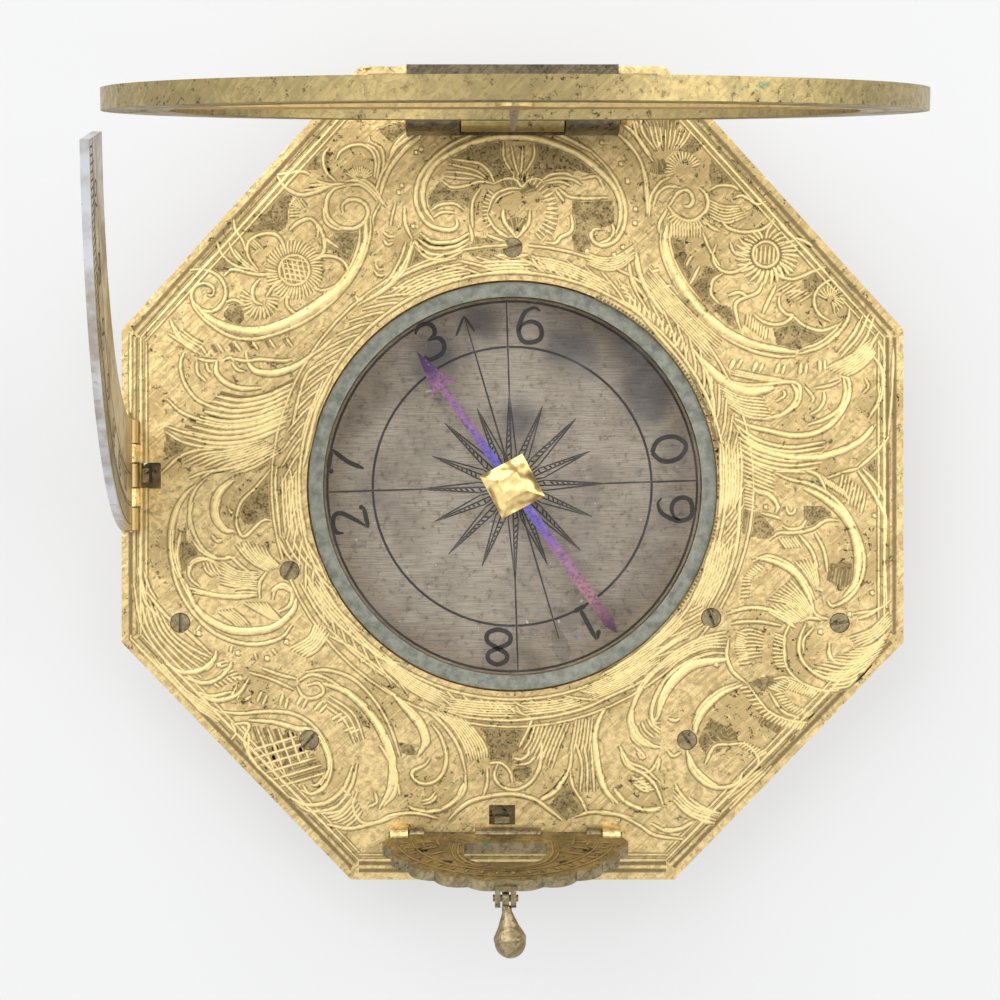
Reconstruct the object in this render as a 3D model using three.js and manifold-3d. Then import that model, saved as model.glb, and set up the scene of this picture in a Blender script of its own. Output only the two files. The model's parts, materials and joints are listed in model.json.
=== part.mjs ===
// A folding pocket sundial: an eight-sided gilt plate with a compass let into it, an hour ring that
// folds up at the north edge, a latitude arc at the west edge and a plummet on a pierced bracket at
// the south edge. Millimetres, +Z up, +Y to the hinge of the hour ring, origin on the compass axis
// at the underside of the compass bowl. It is drawn unfolded.
import * as THREE from "three";
import { mergeVertices } from "three/addons/utils/BufferGeometryUtils.js";
import Module from "manifold-3d";

const wasm = await Module();
wasm.setup();

// Base plate
const plate_half_width = 30;
const plate_north = 32.2;
const plate_south = 30.2;
const plate_side_half = 12;
const plate_north_half = 11.7;
const plate_south_half = 12.4;
const plate_thickness = 1.4;
const compass_hole_radius = 15.8;

// Compass bowl, its dial and its glass
const bowl_height = 4.6;
const bowl_outer_radius = 16.2;
const bowl_inner_radius = 14.9;
const bowl_floor = 0.8;
const bowl_flange_radius = 19.6;
const bowl_flange_thickness = 0.8;
const dial_thickness = 0.5;
const glass_thickness = 0.6;
const bezel_width = 1.1;
const bezel_thickness = 0.4;

// Needle, its cap and its pivot
const pivot_radius = 0.5;
const pivot_height = 2.55;
const pivot_shoulder = 0.6;
const pivot_tip_radius = 0.06;
const needle_north_length = 12.9;
const needle_south_length = 14;
const needle_width = 0.66;
const needle_tail_width = 0.9;
const needle_thickness = 0.25;
const needle_head_length = 3.2;
const needle_head_width = 2;
const needle_barb_share = 0.33;
const needle_eye_radius = 1.35;
const cap_corner_radius = 2.65;
const cap_neck_radius = 0.8;
const cap_skirt = 0.3;
const cap_rise = 0.75;
const cap_top_radius = 1.15;
const cap_socket_radius = 0.45;
const cap_socket_depth = 0.95;
const needle_turn = 35.4;
const cap_turn = -17;

// Screws, all of one pattern
const screw_head_radius = 0.72;
const screw_head_height = 0.5;
const screw_shank_radius = 0.4;
const screw_slot_width = 0.22;
const screw_slot_depth = 0.25;
const bowl_screw_circle = 18.3;
const bowl_screw_turns = [90, 200.8, 326.4];
const screw_slot_turns = [18, 63, 111, 50, 126, 90, 9];
const bracket_screw_west_x = -15.6;
const bracket_screw_east_x = 13.4;
const bracket_screw_y = -19.5;
const side_screw_west_inset = 4.5;
const side_screw_east_inset = 4.9;
const side_screw_y = -10.5;

// Springs under the plate
const spring_thickness = 0.45;
const spring_width = 2.2;
const tongue_width = 1.1;
const tongue_thickness = 0.5;
const slot_width = 2;
const slot_length = 1.5;
const slot_shift = 0.25;

// Hour ring and its hinge
const ring_outer_radius = 26.5;
const ring_width = 4.3;
const ring_thickness = 1.4;
const ring_hinge_inset = 3.8;
const ring_hinge_height = 2;
const ring_knuckle_radius = 1.5;
const ring_web_share = 0.33;
const ring_hinge_half_length = 8.1;
const ring_knuckle_half_length = 3.9;
const ring_hinge_leaf = 0.25;
const ring_hinge_back = 0.9;
const ring_pin_radius = 0.6;
const ring_pin_head_radius = 1;
const ring_pin_head_length = 0.4;
const ring_raise = 82.5;

// Gnomon
const gnomon_bar_width = 1.6;
const gnomon_bar_thickness = 0.9;
const gnomon_pivot_radius = 0.3;
const gnomon_pivot_length = 1.3;
const gnomon_hub_radius = 1.5;
const gnomon_pin_radius = 0.42;
const gnomon_pin_tip_radius = 0.16;
const gnomon_pin_length = 20;
const gnomon_pin_neck = 1.1;
const gnomon_stalk_share = 0.6;
const gnomon_turn = 4;

// Latitude arc and its hinge
const arc_outer_radius = 31.8;
const arc_width = 8.4;
const arc_top_angle = 78;
const arc_thickness = 0.6;
const arc_hinge_inset = 0.7;
const arc_hinge_height = 0.75;
const arc_knuckle_radius = 0.7;
const arc_pin_radius = 0.35;
const arc_strap_spread = 1.68;
const arc_lean = 3.5;

// Plummet bracket and its hinge
const bracket_x = -0.55;
const bracket_hinge_inset = 3.4;
const bracket_hinge_height = 0.75;
const bracket_knuckle_radius = 0.7;
const bracket_pin_radius = 0.35;
const bracket_half_width = 8.9;
const bracket_foot_half = 7.3;
const bracket_shoulder = 1.3;
const bracket_fan_height = 8.4;
const bracket_thickness = 0.8;
const bracket_lobe_share = 0.055;
const bracket_lobes = 10;
const bracket_steps_to_a_lobe = 8;
const bracket_middle_knuckle_half = 2.5;
const bracket_middle_knuckle_x = 0.2;
const bracket_end_knuckle = 1.1;
const bracket_window_half = 3.1;
const bracket_window_low = 2.5;
const bracket_window_spring = 4.6;
const bracket_window_rise = 2.4;
const bracket_hole_radius = 0.45;
const bracket_holes = [
  [4.4, 6.4],
  [6.2, 3.8],
];
const bracket_lean = 13;

// Straps that hold both small hinges
const strap_width = 1.35;
const strap_radius = 0.8;
const strap_tail_length = 1.1;
const strap_tail_thickness = 0.7;

// Plummet
const fork_height = 9.5;
const fork_reach = 1.15;
const fork_ear_radius = 0.7;
const fork_ear_thickness = 0.4;
const fork_gap = 0.75;
const plummet_pin_radius = 0.25;
const plummet_eye_radius = 0.6;
const plummet_eye_thickness = 0.5;
const plummet_neck_radius = 0.36;
const plummet_bulb_radius = 1.2;
const plummet_bulb_centre = 3.2;
const plummet_length = 4.4;
const plummet_tilt = 6;
const plummet_shoulder_share = 0.62;
const plummet_ridge_shares = [0.36, 0.2];
const plummet_ridge_proud = 0.05;
const plummet_bulb_steps = 8;

// Clearances
const seat_gap = 0.04;
const running_gap = 0.12;
const screw_gap = 0.06;
const pin_overrun = 0.15;
const cut_overrun = 0.5;

// Facets
const fine_facets = 96;
const plain_facets = 32;
const small_facets = 20;

// Places that follow from the plate's edges
const ring_hinge_y = plate_north - ring_hinge_inset;
const ring_inner_radius = ring_outer_radius - ring_width;
const ring_centre_reach = ring_outer_radius + ring_knuckle_radius;
const arc_inner_radius = arc_outer_radius - arc_width;
const arc_hinge_x = arc_hinge_inset - plate_half_width;
const arc_foot_middle = ring_hinge_y - (arc_outer_radius + arc_inner_radius) / 2;
const arc_strap_north_y = arc_foot_middle + arc_strap_spread;
const arc_strap_south_y = arc_foot_middle - arc_strap_spread;
const bracket_hinge_y = bracket_hinge_inset - plate_south;
const side_screw_west_x = side_screw_west_inset - plate_half_width;
const side_screw_east_x = plate_half_width - side_screw_east_inset;

// Heights that follow
const plate_under = bowl_height + seat_gap;
const plate_top = plate_under + plate_thickness;
const dial_under = bowl_floor + seat_gap;
const dial_top = dial_under + dial_thickness;
const glass_under = bowl_height + seat_gap;
const glass_top = glass_under + glass_thickness;
const pivot_tip = dial_under + pivot_height;
const screw_tip = bowl_height - bowl_flange_thickness;

const radians = THREE.MathUtils.degToRad;

const gilt_brass = { color: 0xc9a24a, roughness: 0.34, metalness: 1 };
const yellow_brass = { color: 0xb08d3c, roughness: 0.4, metalness: 1 };
const dark_brass = { color: 0x7d6a38, roughness: 0.48, metalness: 1 };
const tarnished_silver = { color: 0x8f857a, roughness: 0.45, metalness: 1 };
const pewter = { color: 0x9aa39a, roughness: 0.5, metalness: 1 };
const blued_steel = { color: 0x5a3f9a, roughness: 0.3, metalness: 1 };
const grey_steel = { color: 0x6e6e6a, roughness: 0.42, metalness: 1 };
const bright_silver = { color: 0xd8d8dc, roughness: 0.25, metalness: 1 };
const clear_glass = { color: 0xffffff, roughness: 0.05, metalness: 0, transparent: true, opacity: 0.2 };

// A closed geometry as a solid: corners are merged and faces of no area left out.
function solid(geometry) {
  const bare = geometry.clone();
  bare.deleteAttribute("normal");
  bare.deleteAttribute("uv");
  const merged = mergeVertices(bare);
  const corners = merged.index.array;
  const kept = [];
  for (let i = 0; i < corners.length; i += 3) {
    const [a, b, c] = corners.slice(i, i + 3);
    if (a !== b && b !== c && c !== a) kept.push(a, b, c);
  }
  return new wasm.Manifold(
    new wasm.Mesh({
      numProp: 3,
      vertProperties: merged.attributes.position.array,
      triVerts: new Uint32Array(kept),
    }),
  );
}

// A solid as a named mesh of one finish.
function piece(name, body, finish) {
  const made = body.getMesh();
  const geometry = new THREE.BufferGeometry();
  geometry.setAttribute("position", new THREE.BufferAttribute(made.vertProperties, made.numProp));
  geometry.setIndex(new THREE.BufferAttribute(made.triVerts, 1));
  geometry.computeVertexNormals();
  const mesh = new THREE.Mesh(geometry, new THREE.MeshStandardMaterial(finish));
  mesh.name = name;
  return mesh;
}

// A block between two opposite corners.
function block(low, high) {
  const size = high.map((v, i) => v - low[i]);
  const geometry = new THREE.BoxGeometry(...size);
  geometry.translate(...low.map((v, i) => v + size[i] / 2));
  return solid(geometry);
}

// An upright rod, which may taper, from a low height to a high one.
function rod(x, y, low, high, low_radius, high_radius = low_radius, facets = small_facets) {
  const geometry = new THREE.CylinderGeometry(high_radius, low_radius, high - low, facets);
  geometry.rotateX(Math.PI / 2);
  geometry.translate(x, y, (low + high) / 2);
  return solid(geometry);
}

// A rod along X, between two values of x.
function rod_along_x(low, high, y, z, radius, facets = plain_facets) {
  const geometry = new THREE.CylinderGeometry(radius, radius, high - low, facets);
  geometry.rotateZ(-Math.PI / 2);
  geometry.translate((low + high) / 2, y, z);
  return solid(geometry);
}

// A rod along Y, between two values of y.
function rod_along_y(low, high, x, z, radius, facets = plain_facets) {
  const geometry = new THREE.CylinderGeometry(radius, radius, high - low, facets);
  geometry.translate(x, (low + high) / 2, z);
  return solid(geometry);
}

// A turned shape about the Z axis, from a closed profile of [radius, height].
function turned(profile, facets = fine_facets) {
  const points = profile.map(([r, z]) => new THREE.Vector2(r, z));
  const geometry = new THREE.LatheGeometry([...points, points[0].clone()], facets);
  geometry.rotateX(Math.PI / 2);
  return solid(geometry);
}

// An outline carried up by a thickness, with its first face at the given height.
function sheet(outline, low, thickness, facets = plain_facets) {
  const geometry = new THREE.ExtrudeGeometry(outline, {
    depth: thickness,
    bevelEnabled: false,
    curveSegments: facets,
  });
  geometry.translate(0, 0, low);
  return geometry;
}

function outline(points) {
  return new THREE.Shape(points.map(([x, y]) => new THREE.Vector2(x, y)));
}

// The place of a screw on a circle about the compass axis.
function on_circle(radius, turn) {
  return [radius * Math.cos(radians(turn)), radius * Math.sin(radians(turn))];
}

// Where each screw stands: the three of the bowl, then those of the springs and the east side.
const screw_places = {
  bowl_screw_north: on_circle(bowl_screw_circle, bowl_screw_turns[0]),
  bowl_screw_west: on_circle(bowl_screw_circle, bowl_screw_turns[1]),
  bowl_screw_east: on_circle(bowl_screw_circle, bowl_screw_turns[2]),
  bracket_spring_screw_west: [bracket_screw_west_x, bracket_screw_y],
  bracket_spring_screw_east: [bracket_screw_east_x, bracket_screw_y],
  arc_spring_screw: [side_screw_west_x, side_screw_y],
  east_plate_screw: [side_screw_east_x, side_screw_y],
};

// Plan of the openings that the springs' tongues stand in.
const bracket_slot_x = bracket_x - slot_shift;
const bracket_slot_y = bracket_hinge_y + bracket_knuckle_radius + running_gap + slot_length / 2;
const arc_slot_x = arc_hinge_x + arc_knuckle_radius + running_gap + slot_length / 2;
const arc_slot_y = (arc_strap_north_y + arc_strap_south_y) / 2;

// The tail of a strap stands in an opening of the plate.
function strap_tail(x, y, along_x, grown) {
  const half_width = strap_width / 2 + grown;
  const half_depth = strap_tail_thickness / 2 + grown;
  const half_x = along_x ? half_width : half_depth;
  const half_y = along_x ? half_depth : half_width;
  const low = plate_top - strap_tail_length - grown;
  return block([x - half_x, y - half_y, low], [x + half_x, y + half_y, plate_top + strap_radius / 2]);
}

const bracket_strap_reach = bracket_foot_half + running_gap + strap_width / 2;
const strap_places = {
  bracket_strap_west: [bracket_x - bracket_strap_reach, bracket_hinge_y, true, bracket_hinge_height],
  bracket_strap_east: [bracket_x + bracket_strap_reach, bracket_hinge_y, true, bracket_hinge_height],
  arc_strap_north: [arc_hinge_x, arc_strap_north_y, false, arc_hinge_height],
  arc_strap_south: [arc_hinge_x, arc_strap_south_y, false, arc_hinge_height],
};

// The gilt plate, with seats for the screws and openings for the tongues and the straps.
function base_plate() {
  const corners = [
    [-plate_south_half, -plate_south],
    [plate_south_half, -plate_south],
    [plate_half_width, -plate_side_half],
    [plate_half_width, plate_side_half],
    [plate_north_half, plate_north],
    [-plate_north_half, plate_north],
    [-plate_half_width, plate_side_half],
    [-plate_half_width, -plate_side_half],
  ];
  const plan = outline(corners);
  const hole = new THREE.Path();
  hole.absarc(0, 0, compass_hole_radius, 0, 2 * Math.PI, true);
  plan.holes.push(hole);
  let body = solid(sheet(plan, plate_under, plate_thickness, fine_facets));
  const below = plate_under - cut_overrun;
  for (const [x, y] of Object.values(screw_places)) {
    const head_floor = plate_top - screw_head_height - screw_gap;
    const head = rod(x, y, head_floor, plate_top + cut_overrun, screw_head_radius + screw_gap);
    const shank = rod(x, y, below, head_floor + screw_gap, screw_shank_radius + screw_gap);
    body = body.subtract(head).subtract(shank);
  }
  const above = plate_top + cut_overrun;
  body = body.subtract(
    block(
      [bracket_slot_x - slot_width / 2, bracket_slot_y - slot_length / 2, below],
      [bracket_slot_x + slot_width / 2, bracket_slot_y + slot_length / 2, above],
    ),
  );
  body = body.subtract(
    block(
      [arc_slot_x - slot_length / 2, arc_slot_y - slot_width / 2, below],
      [arc_slot_x + slot_length / 2, arc_slot_y + slot_width / 2, above],
    ),
  );
  for (const [x, y, along_x] of Object.values(strap_places)) {
    body = body.subtract(strap_tail(x, y, along_x, screw_gap));
  }
  for (const side of [-1, 1]) {
    const x = (side * (ring_knuckle_half_length + ring_hinge_half_length)) / 2;
    body = body.subtract(rod(x, ring_hinge_y, below, above, screw_shank_radius + screw_gap));
  }
  return body;
}

// The cup that holds the compass, with a flange that is screwed under the plate.
function compass_bowl() {
  const flange_under = bowl_height - bowl_flange_thickness;
  let body = turned([
    [0, 0],
    [bowl_outer_radius, 0],
    [bowl_outer_radius, flange_under],
    [bowl_flange_radius, flange_under],
    [bowl_flange_radius, bowl_height],
    [bowl_inner_radius, bowl_height],
    [bowl_inner_radius, bowl_floor],
    [0, bowl_floor],
  ]);
  for (const turn of bowl_screw_turns) {
    const [x, y] = on_circle(bowl_screw_circle, turn);
    const radius = screw_shank_radius + screw_gap;
    body = body.subtract(rod(x, y, flange_under - cut_overrun, bowl_height + cut_overrun, radius));
  }
  return body;
}

// A flat ring between two radii.
function washer(inner, outer, low, high, facets = fine_facets) {
  return turned([[inner, low], [outer, low], [outer, high], [inner, high]], facets);
}

// The point that the needle swings on, with a shoulder that holds the dial down.
function needle_pivot() {
  const shoulder = dial_top + pivot_shoulder;
  const waist = pivot_radius / 2;
  return turned(
    [
      [0, dial_under],
      [pivot_radius, dial_under],
      [pivot_radius, shoulder],
      [waist, shoulder + waist],
      [pivot_tip_radius, pivot_tip],
      [0, pivot_tip],
    ],
    small_facets,
  );
}

// Heights of the needle and its cap follow the point that carries them.
const cap_top = pivot_tip + seat_gap + cap_rise;
const cap_under = cap_top - cap_rise - cap_skirt - needle_thickness;
const needle_under = cap_top - cap_rise - needle_thickness - seat_gap;

// The flat needle: an arrow head to the north, a tail that widens to the south, an eye for the cap.
function needle() {
  const half = needle_width / 2;
  const tail_half = needle_tail_width / 2;
  const head_back = needle_north_length - needle_head_length;
  const barb_back = head_back - needle_head_width * needle_barb_share;
  const plan = outline([
    [0, needle_north_length],
    [-needle_head_width / 2, barb_back],
    [-half, head_back],
    [-half, 0],
    [-tail_half, -needle_south_length + needle_tail_width],
    [0, -needle_south_length],
    [tail_half, -needle_south_length + needle_tail_width],
    [half, 0],
    [half, head_back],
    [needle_head_width / 2, barb_back],
  ]);
  const blade = solid(sheet(plan, needle_under, needle_thickness));
  const eye = rod(0, 0, needle_under, needle_under + needle_thickness, needle_eye_radius);
  const bore = cap_neck_radius + screw_gap;
  const low = needle_under - cut_overrun;
  return blade.add(eye).subtract(rod(0, 0, low, needle_under + cut_overrun, bore));
}

// The brass cap: a square pyramid with its point cut off, a neck in the needle's eye and a socket.
function needle_cap() {
  const shoulder = cap_top - cap_rise;
  const pyramid = rod(0, 0, shoulder, cap_top, cap_corner_radius, cap_top_radius, 4);
  const neck = rod(0, 0, cap_under, shoulder + seat_gap, cap_neck_radius);
  const socket_top = pivot_tip + seat_gap;
  const socket = rod(0, 0, socket_top - cap_socket_depth, socket_top, cap_socket_radius, seat_gap);
  return pyramid.add(neck).subtract(socket);
}

// A slotted screw with a flat head, its top level with the plate.
function screw(x, y, low, slot_turn) {
  const head_under = plate_top - screw_head_height;
  const head = rod(x, y, head_under, plate_top, screw_head_radius);
  const shank = rod(x, y, low, head_under + screw_gap, screw_shank_radius);
  const long = (screw_head_radius + cut_overrun) * 2;
  const cut = new THREE.BoxGeometry(long, screw_slot_width, screw_slot_depth * 2);
  cut.rotateZ(radians(slot_turn));
  cut.translate(x, y, plate_top);
  return head.add(shank).subtract(solid(cut));
}

// A leaf from one place to the next in plan, as a strip with round ends.
function leaf(places, low) {
  let body;
  for (let i = 0; i + 1 < places.length; i += 1) {
    const [x0, y0] = places[i];
    const [x1, y1] = places[i + 1];
    const length = Math.hypot(x1 - x0, y1 - y0);
    const strip = new THREE.BoxGeometry(length, spring_width, spring_thickness);
    strip.rotateZ(Math.atan2(y1 - y0, x1 - x0));
    strip.translate((x0 + x1) / 2, (y0 + y1) / 2, low + spring_thickness / 2);
    body = body ? body.add(solid(strip)) : solid(strip);
  }
  for (const [x, y] of places) {
    body = body.add(rod(x, y, low, low + spring_thickness, spring_width / 2));
  }
  return body;
}

const spring_under = plate_under - seat_gap - spring_thickness;

// The leaf under the south edge. Its tongue stands in the plate's opening and bears on the bracket.
function bracket_spring() {
  const west = screw_places.bracket_spring_screw_west;
  const east = screw_places.bracket_spring_screw_east;
  const middle = [bracket_slot_x, bracket_slot_y];
  let body = leaf([west, middle, east], spring_under);
  for (const [x, y] of [west, east]) {
    const radius = screw_shank_radius + screw_gap;
    body = body.subtract(rod(x, y, spring_under - cut_overrun, plate_top, radius));
  }
  const back = bracket_slot_y - slot_length / 2 + running_gap;
  const tongue_top = plate_top + bracket_hinge_height - bracket_thickness / 2 - running_gap;
  const low = [bracket_slot_x - tongue_width / 2, back, spring_under];
  const high = [bracket_slot_x + tongue_width / 2, back + tongue_thickness, tongue_top];
  return body.add(block(low, high));
}

// The leaf under the west edge, with a tongue that bears on the foot of the latitude arc.
function arc_spring() {
  const root = screw_places.arc_spring_screw;
  let body = leaf([root, [arc_slot_x, arc_slot_y]], spring_under);
  const radius = screw_shank_radius + screw_gap;
  body = body.subtract(rod(...root, spring_under - cut_overrun, plate_top, radius));
  const back = arc_slot_x - slot_length / 2 + running_gap;
  const tongue_top = plate_top + arc_hinge_height - arc_thickness / 2 - running_gap;
  const low = [back, arc_slot_y - tongue_width / 2, spring_under];
  const high = [back + tongue_thickness, arc_slot_y + tongue_width / 2, tongue_top];
  return body.add(block(low, high));
}

// A strap bent round a hinge pin, with its tail let into the plate.
function strap(x, y, along_x, height, pin_radius) {
  const z = plate_top + height;
  const half = strap_width / 2;
  const along = along_x ? x : y;
  const make = along_x ? rod_along_x : rod_along_y;
  const across = along_x ? y : x;
  const foot_half = strap_radius;
  const foot_low = along_x
    ? [x - half, y - foot_half, plate_top + seat_gap]
    : [x - foot_half, y - half, plate_top + seat_gap];
  const foot_high = along_x ? [x + half, y + foot_half, z] : [x + foot_half, y + half, z];
  const low = along - half - cut_overrun;
  const high = along + half + cut_overrun;
  const bore = make(low, high, across, z, pin_radius + screw_gap);
  return make(along - half, along + half, across, z, strap_radius)
    .add(block(foot_low, foot_high))
    .add(strap_tail(x, y, along_x, 0))
    .subtract(bore);
}

// The fixed half of the ring's hinge: a thin leaf with a knuckle at each end.
function ring_hinge_leaf_block() {
  const z = plate_top + ring_hinge_height;
  const low_y = ring_hinge_y - ring_knuckle_radius;
  const high_y = ring_hinge_y + ring_knuckle_radius;
  const bottom = plate_top + seat_gap;
  let body = block(
    [-ring_hinge_half_length, low_y, bottom],
    [ring_hinge_half_length, plate_north, bottom + ring_hinge_leaf],
  );
  const back_low = [-ring_hinge_half_length, high_y + running_gap, bottom];
  const back_high = [ring_hinge_half_length, plate_north, bottom + ring_hinge_back];
  body = body.add(block(back_low, back_high));
  const inner = ring_knuckle_half_length + running_gap;
  for (const [low, high] of [[-ring_hinge_half_length, -inner], [inner, ring_hinge_half_length]]) {
    body = body.add(rod_along_x(low, high, ring_hinge_y, z, ring_knuckle_radius));
    body = body.add(block([low, low_y, bottom], [high, high_y, z]));
    const middle = (low + high) / 2;
    const hole_top = z - ring_pin_radius - screw_gap - ring_hinge_leaf;
    const hole_radius = screw_shank_radius + screw_gap;
    body = body.subtract(rod(middle, ring_hinge_y, bottom - cut_overrun, hole_top, hole_radius));
  }
  const reach = ring_hinge_half_length + cut_overrun;
  return body.subtract(rod_along_x(-reach, reach, ring_hinge_y, z, ring_pin_radius + screw_gap));
}

// A screw from below that holds the ring's hinge down on the plate.
function hinge_screw(x) {
  const z = plate_top + ring_hinge_height;
  const top = z - ring_pin_radius - ring_hinge_leaf - screw_gap - running_gap;
  const head_top = plate_under - seat_gap;
  const head = rod(x, ring_hinge_y, head_top - screw_head_height, head_top, screw_head_radius);
  return head.add(rod(x, ring_hinge_y, head_top - screw_gap, top, screw_shank_radius));
}

// The hour ring, lying flat, with its knuckle at the origin and its centre to the south.
function hour_ring() {
  const plan = new THREE.Shape();
  plan.absarc(0, -ring_centre_reach, ring_outer_radius, 0, 2 * Math.PI, false);
  const bore = new THREE.Path();
  bore.absarc(0, -ring_centre_reach, ring_inner_radius, 0, 2 * Math.PI, true);
  plan.holes.push(bore);
  const half = ring_thickness / 2;
  let body = solid(sheet(plan, -half, ring_thickness, fine_facets));
  const knuckle = ring_knuckle_half_length;
  const web_reach = ring_centre_reach - ring_outer_radius + ring_width * ring_web_share;
  body = body.add(rod_along_x(-knuckle, knuckle, 0, 0, ring_knuckle_radius));
  body = body.add(block([-knuckle, -web_reach, -half], [knuckle, 0, half]));
  const reach = knuckle + cut_overrun;
  body = body.subtract(rod_along_x(-reach, reach, 0, 0, ring_pin_radius + screw_gap));
  const socket = ring_inner_radius + gnomon_pivot_length + running_gap;
  const radius = gnomon_pivot_radius + screw_gap;
  return body.subtract(rod_along_x(-socket, socket, -ring_centre_reach, 0, radius, small_facets));
}

// The bar across the ring, with a pivot at each end and a round hub in its middle.
function gnomon_bar() {
  const end = ring_inner_radius - running_gap * 2;
  const half_width = gnomon_bar_width / 2;
  const half = gnomon_bar_thickness / 2;
  const tip = ring_inner_radius + gnomon_pivot_length;
  const bar = block([-end, -half_width, -half], [end, half_width, half]);
  const hub = rod(0, 0, -half, half, gnomon_hub_radius, gnomon_hub_radius, plain_facets);
  const socket_low = gnomon_hub_radius - gnomon_pin_neck;
  const bore = gnomon_pin_radius * gnomon_stalk_share + screw_gap;
  return bar
    .add(hub)
    .add(rod_along_x(-tip, tip, 0, 0, gnomon_pivot_radius, small_facets))
    .subtract(rod_along_y(socket_low, gnomon_hub_radius + cut_overrun, 0, 0, bore, small_facets));
}

// The pin whose shadow tells the hour: a stalk in the hub's socket, then a long taper to its point.
function gnomon_pin() {
  const root = gnomon_hub_radius - gnomon_pin_neck + seat_gap;
  const shoulder = gnomon_hub_radius + seat_gap;
  const stalk = gnomon_pin_radius * gnomon_stalk_share;
  const body = turned(
    [
      [0, root],
      [stalk, root],
      [stalk, shoulder],
      [gnomon_pin_radius, shoulder],
      [gnomon_pin_radius, shoulder + gnomon_pin_neck],
      [gnomon_pin_tip_radius, gnomon_pin_length],
      [0, gnomon_pin_length],
    ],
    small_facets,
  );
  return body.rotate([-90, 0, 0]);
}

// The latitude arc, upright over its hinge line: a strip of a ring about the hour ring's hinge.
function latitude_arc() {
  const centre_y = ring_hinge_y;
  const centre_z = ring_hinge_height - arc_hinge_height;
  const foot_angle = (radius) => -Math.asin(centre_z / radius);
  const top = radians(arc_top_angle);
  const steps = plain_facets;
  const edge = (radius, from, to) =>
    Array.from({ length: steps + 1 }, (unused, i) => {
      const angle = from + ((to - from) * i) / steps;
      return [centre_y - radius * Math.cos(angle), centre_z + radius * Math.sin(angle)];
    });
  const plan = outline([
    ...edge(arc_outer_radius, foot_angle(arc_outer_radius), top),
    ...edge(arc_inner_radius, top, foot_angle(arc_inner_radius)),
  ]);
  const upright = sheet(plan, -arc_thickness / 2, arc_thickness);
  const turn = new THREE.Matrix4().makeBasis(
    new THREE.Vector3(0, 1, 0),
    new THREE.Vector3(0, 0, 1),
    new THREE.Vector3(1, 0, 0),
  );
  upright.applyMatrix4(turn);
  let body = solid(upright);
  const south = centre_y - arc_outer_radius * Math.cos(foot_angle(arc_outer_radius));
  const north = centre_y - arc_inner_radius * Math.cos(foot_angle(arc_inner_radius));
  body = body.add(rod_along_y(south, north, 0, 0, arc_knuckle_radius));
  const notch = strap_radius + running_gap;
  for (const y of [arc_strap_north_y, arc_strap_south_y]) {
    const half = strap_width / 2 + running_gap;
    body = body.subtract(block([-notch, y - half, -notch], [notch, y + half, notch]));
  }
  const bore = arc_pin_radius + screw_gap;
  return body.subtract(rod_along_y(south - cut_overrun, north + cut_overrun, 0, 0, bore));
}

// A point of the fan's edge, as shares of its half width and its height, with small round lobes.
function fan_point(angle, share, lobed) {
  const swell = lobed ? 1 + bracket_lobe_share * Math.abs(Math.sin(bracket_lobes * angle)) : 1;
  const x = bracket_half_width * share * swell * Math.cos(angle);
  return [x, bracket_shoulder + bracket_fan_height * share * swell * Math.sin(angle)];
}

// The bracket, upright over its hinge line: a lobed fan with an arched window and four small holes,
// three knuckles under its foot, and a fork that stands out in front of the fan, so that the
// plummet hangs clear of it.
function plummet_bracket() {
  const steps = bracket_lobes * bracket_steps_to_a_lobe;
  const rim = Array.from({ length: steps + 1 }, (unused, i) => fan_point((Math.PI * i) / steps, 1, true));
  const plan = outline(rim);
  const window = Array.from({ length: plain_facets + 1 }, (unused, i) => {
    const angle = (Math.PI * i) / plain_facets;
    const x = bracket_window_half * Math.cos(angle);
    return new THREE.Vector2(x, bracket_window_spring + bracket_window_rise * Math.sin(angle));
  });
  window.push(new THREE.Vector2(-bracket_window_half, bracket_window_low));
  window.push(new THREE.Vector2(bracket_window_half, bracket_window_low));
  plan.holes.push(new THREE.Path(window));
  for (const [x, z] of bracket_holes) {
    for (const side of [-1, 1]) {
      const hole = new THREE.Path();
      hole.absarc(side * x, z, bracket_hole_radius, 0, 2 * Math.PI, true);
      plan.holes.push(hole);
    }
  }
  const half = bracket_thickness / 2;
  const fan = sheet(plan, -half, bracket_thickness, small_facets);
  fan.rotateX(Math.PI / 2);
  let body = solid(fan);
  const foot = bracket_foot_half;
  const foot_low = bracket_pin_radius + running_gap;
  body = body.add(block([-foot, -half, foot_low], [foot, half, bracket_shoulder + seat_gap]));
  const middle_low = bracket_middle_knuckle_x - bracket_middle_knuckle_half;
  const middle_high = bracket_middle_knuckle_x + bracket_middle_knuckle_half;
  const knuckles = [
    [-foot, -foot + bracket_end_knuckle],
    [middle_low, middle_high],
    [foot - bracket_end_knuckle, foot],
  ];
  for (const [low, high] of knuckles) {
    body = body.add(rod_along_x(low, high, 0, 0, bracket_knuckle_radius));
  }
  const ear = fork_gap / 2 + fork_ear_thickness;
  const ear_low = [-ear, -fork_reach, fork_height - fork_ear_radius];
  body = body.add(block(ear_low, [ear, 0, fork_height + fork_ear_radius]));
  body = body.add(rod_along_x(-ear, ear, -fork_reach, fork_height, fork_ear_radius));
  const reach = fork_ear_radius + cut_overrun;
  const slot_low = [-fork_gap / 2, -fork_reach - reach, fork_height - reach];
  const slot_high = [fork_gap / 2, -half, fork_height + reach];
  body = body.subtract(block(slot_low, slot_high));
  const long = foot + cut_overrun;
  body = body.subtract(rod_along_x(-long, long, 0, 0, bracket_pin_radius + screw_gap));
  return body.subtract(rod_along_x(-long, long, -fork_reach, fork_height, plummet_pin_radius + screw_gap));
}

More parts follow.
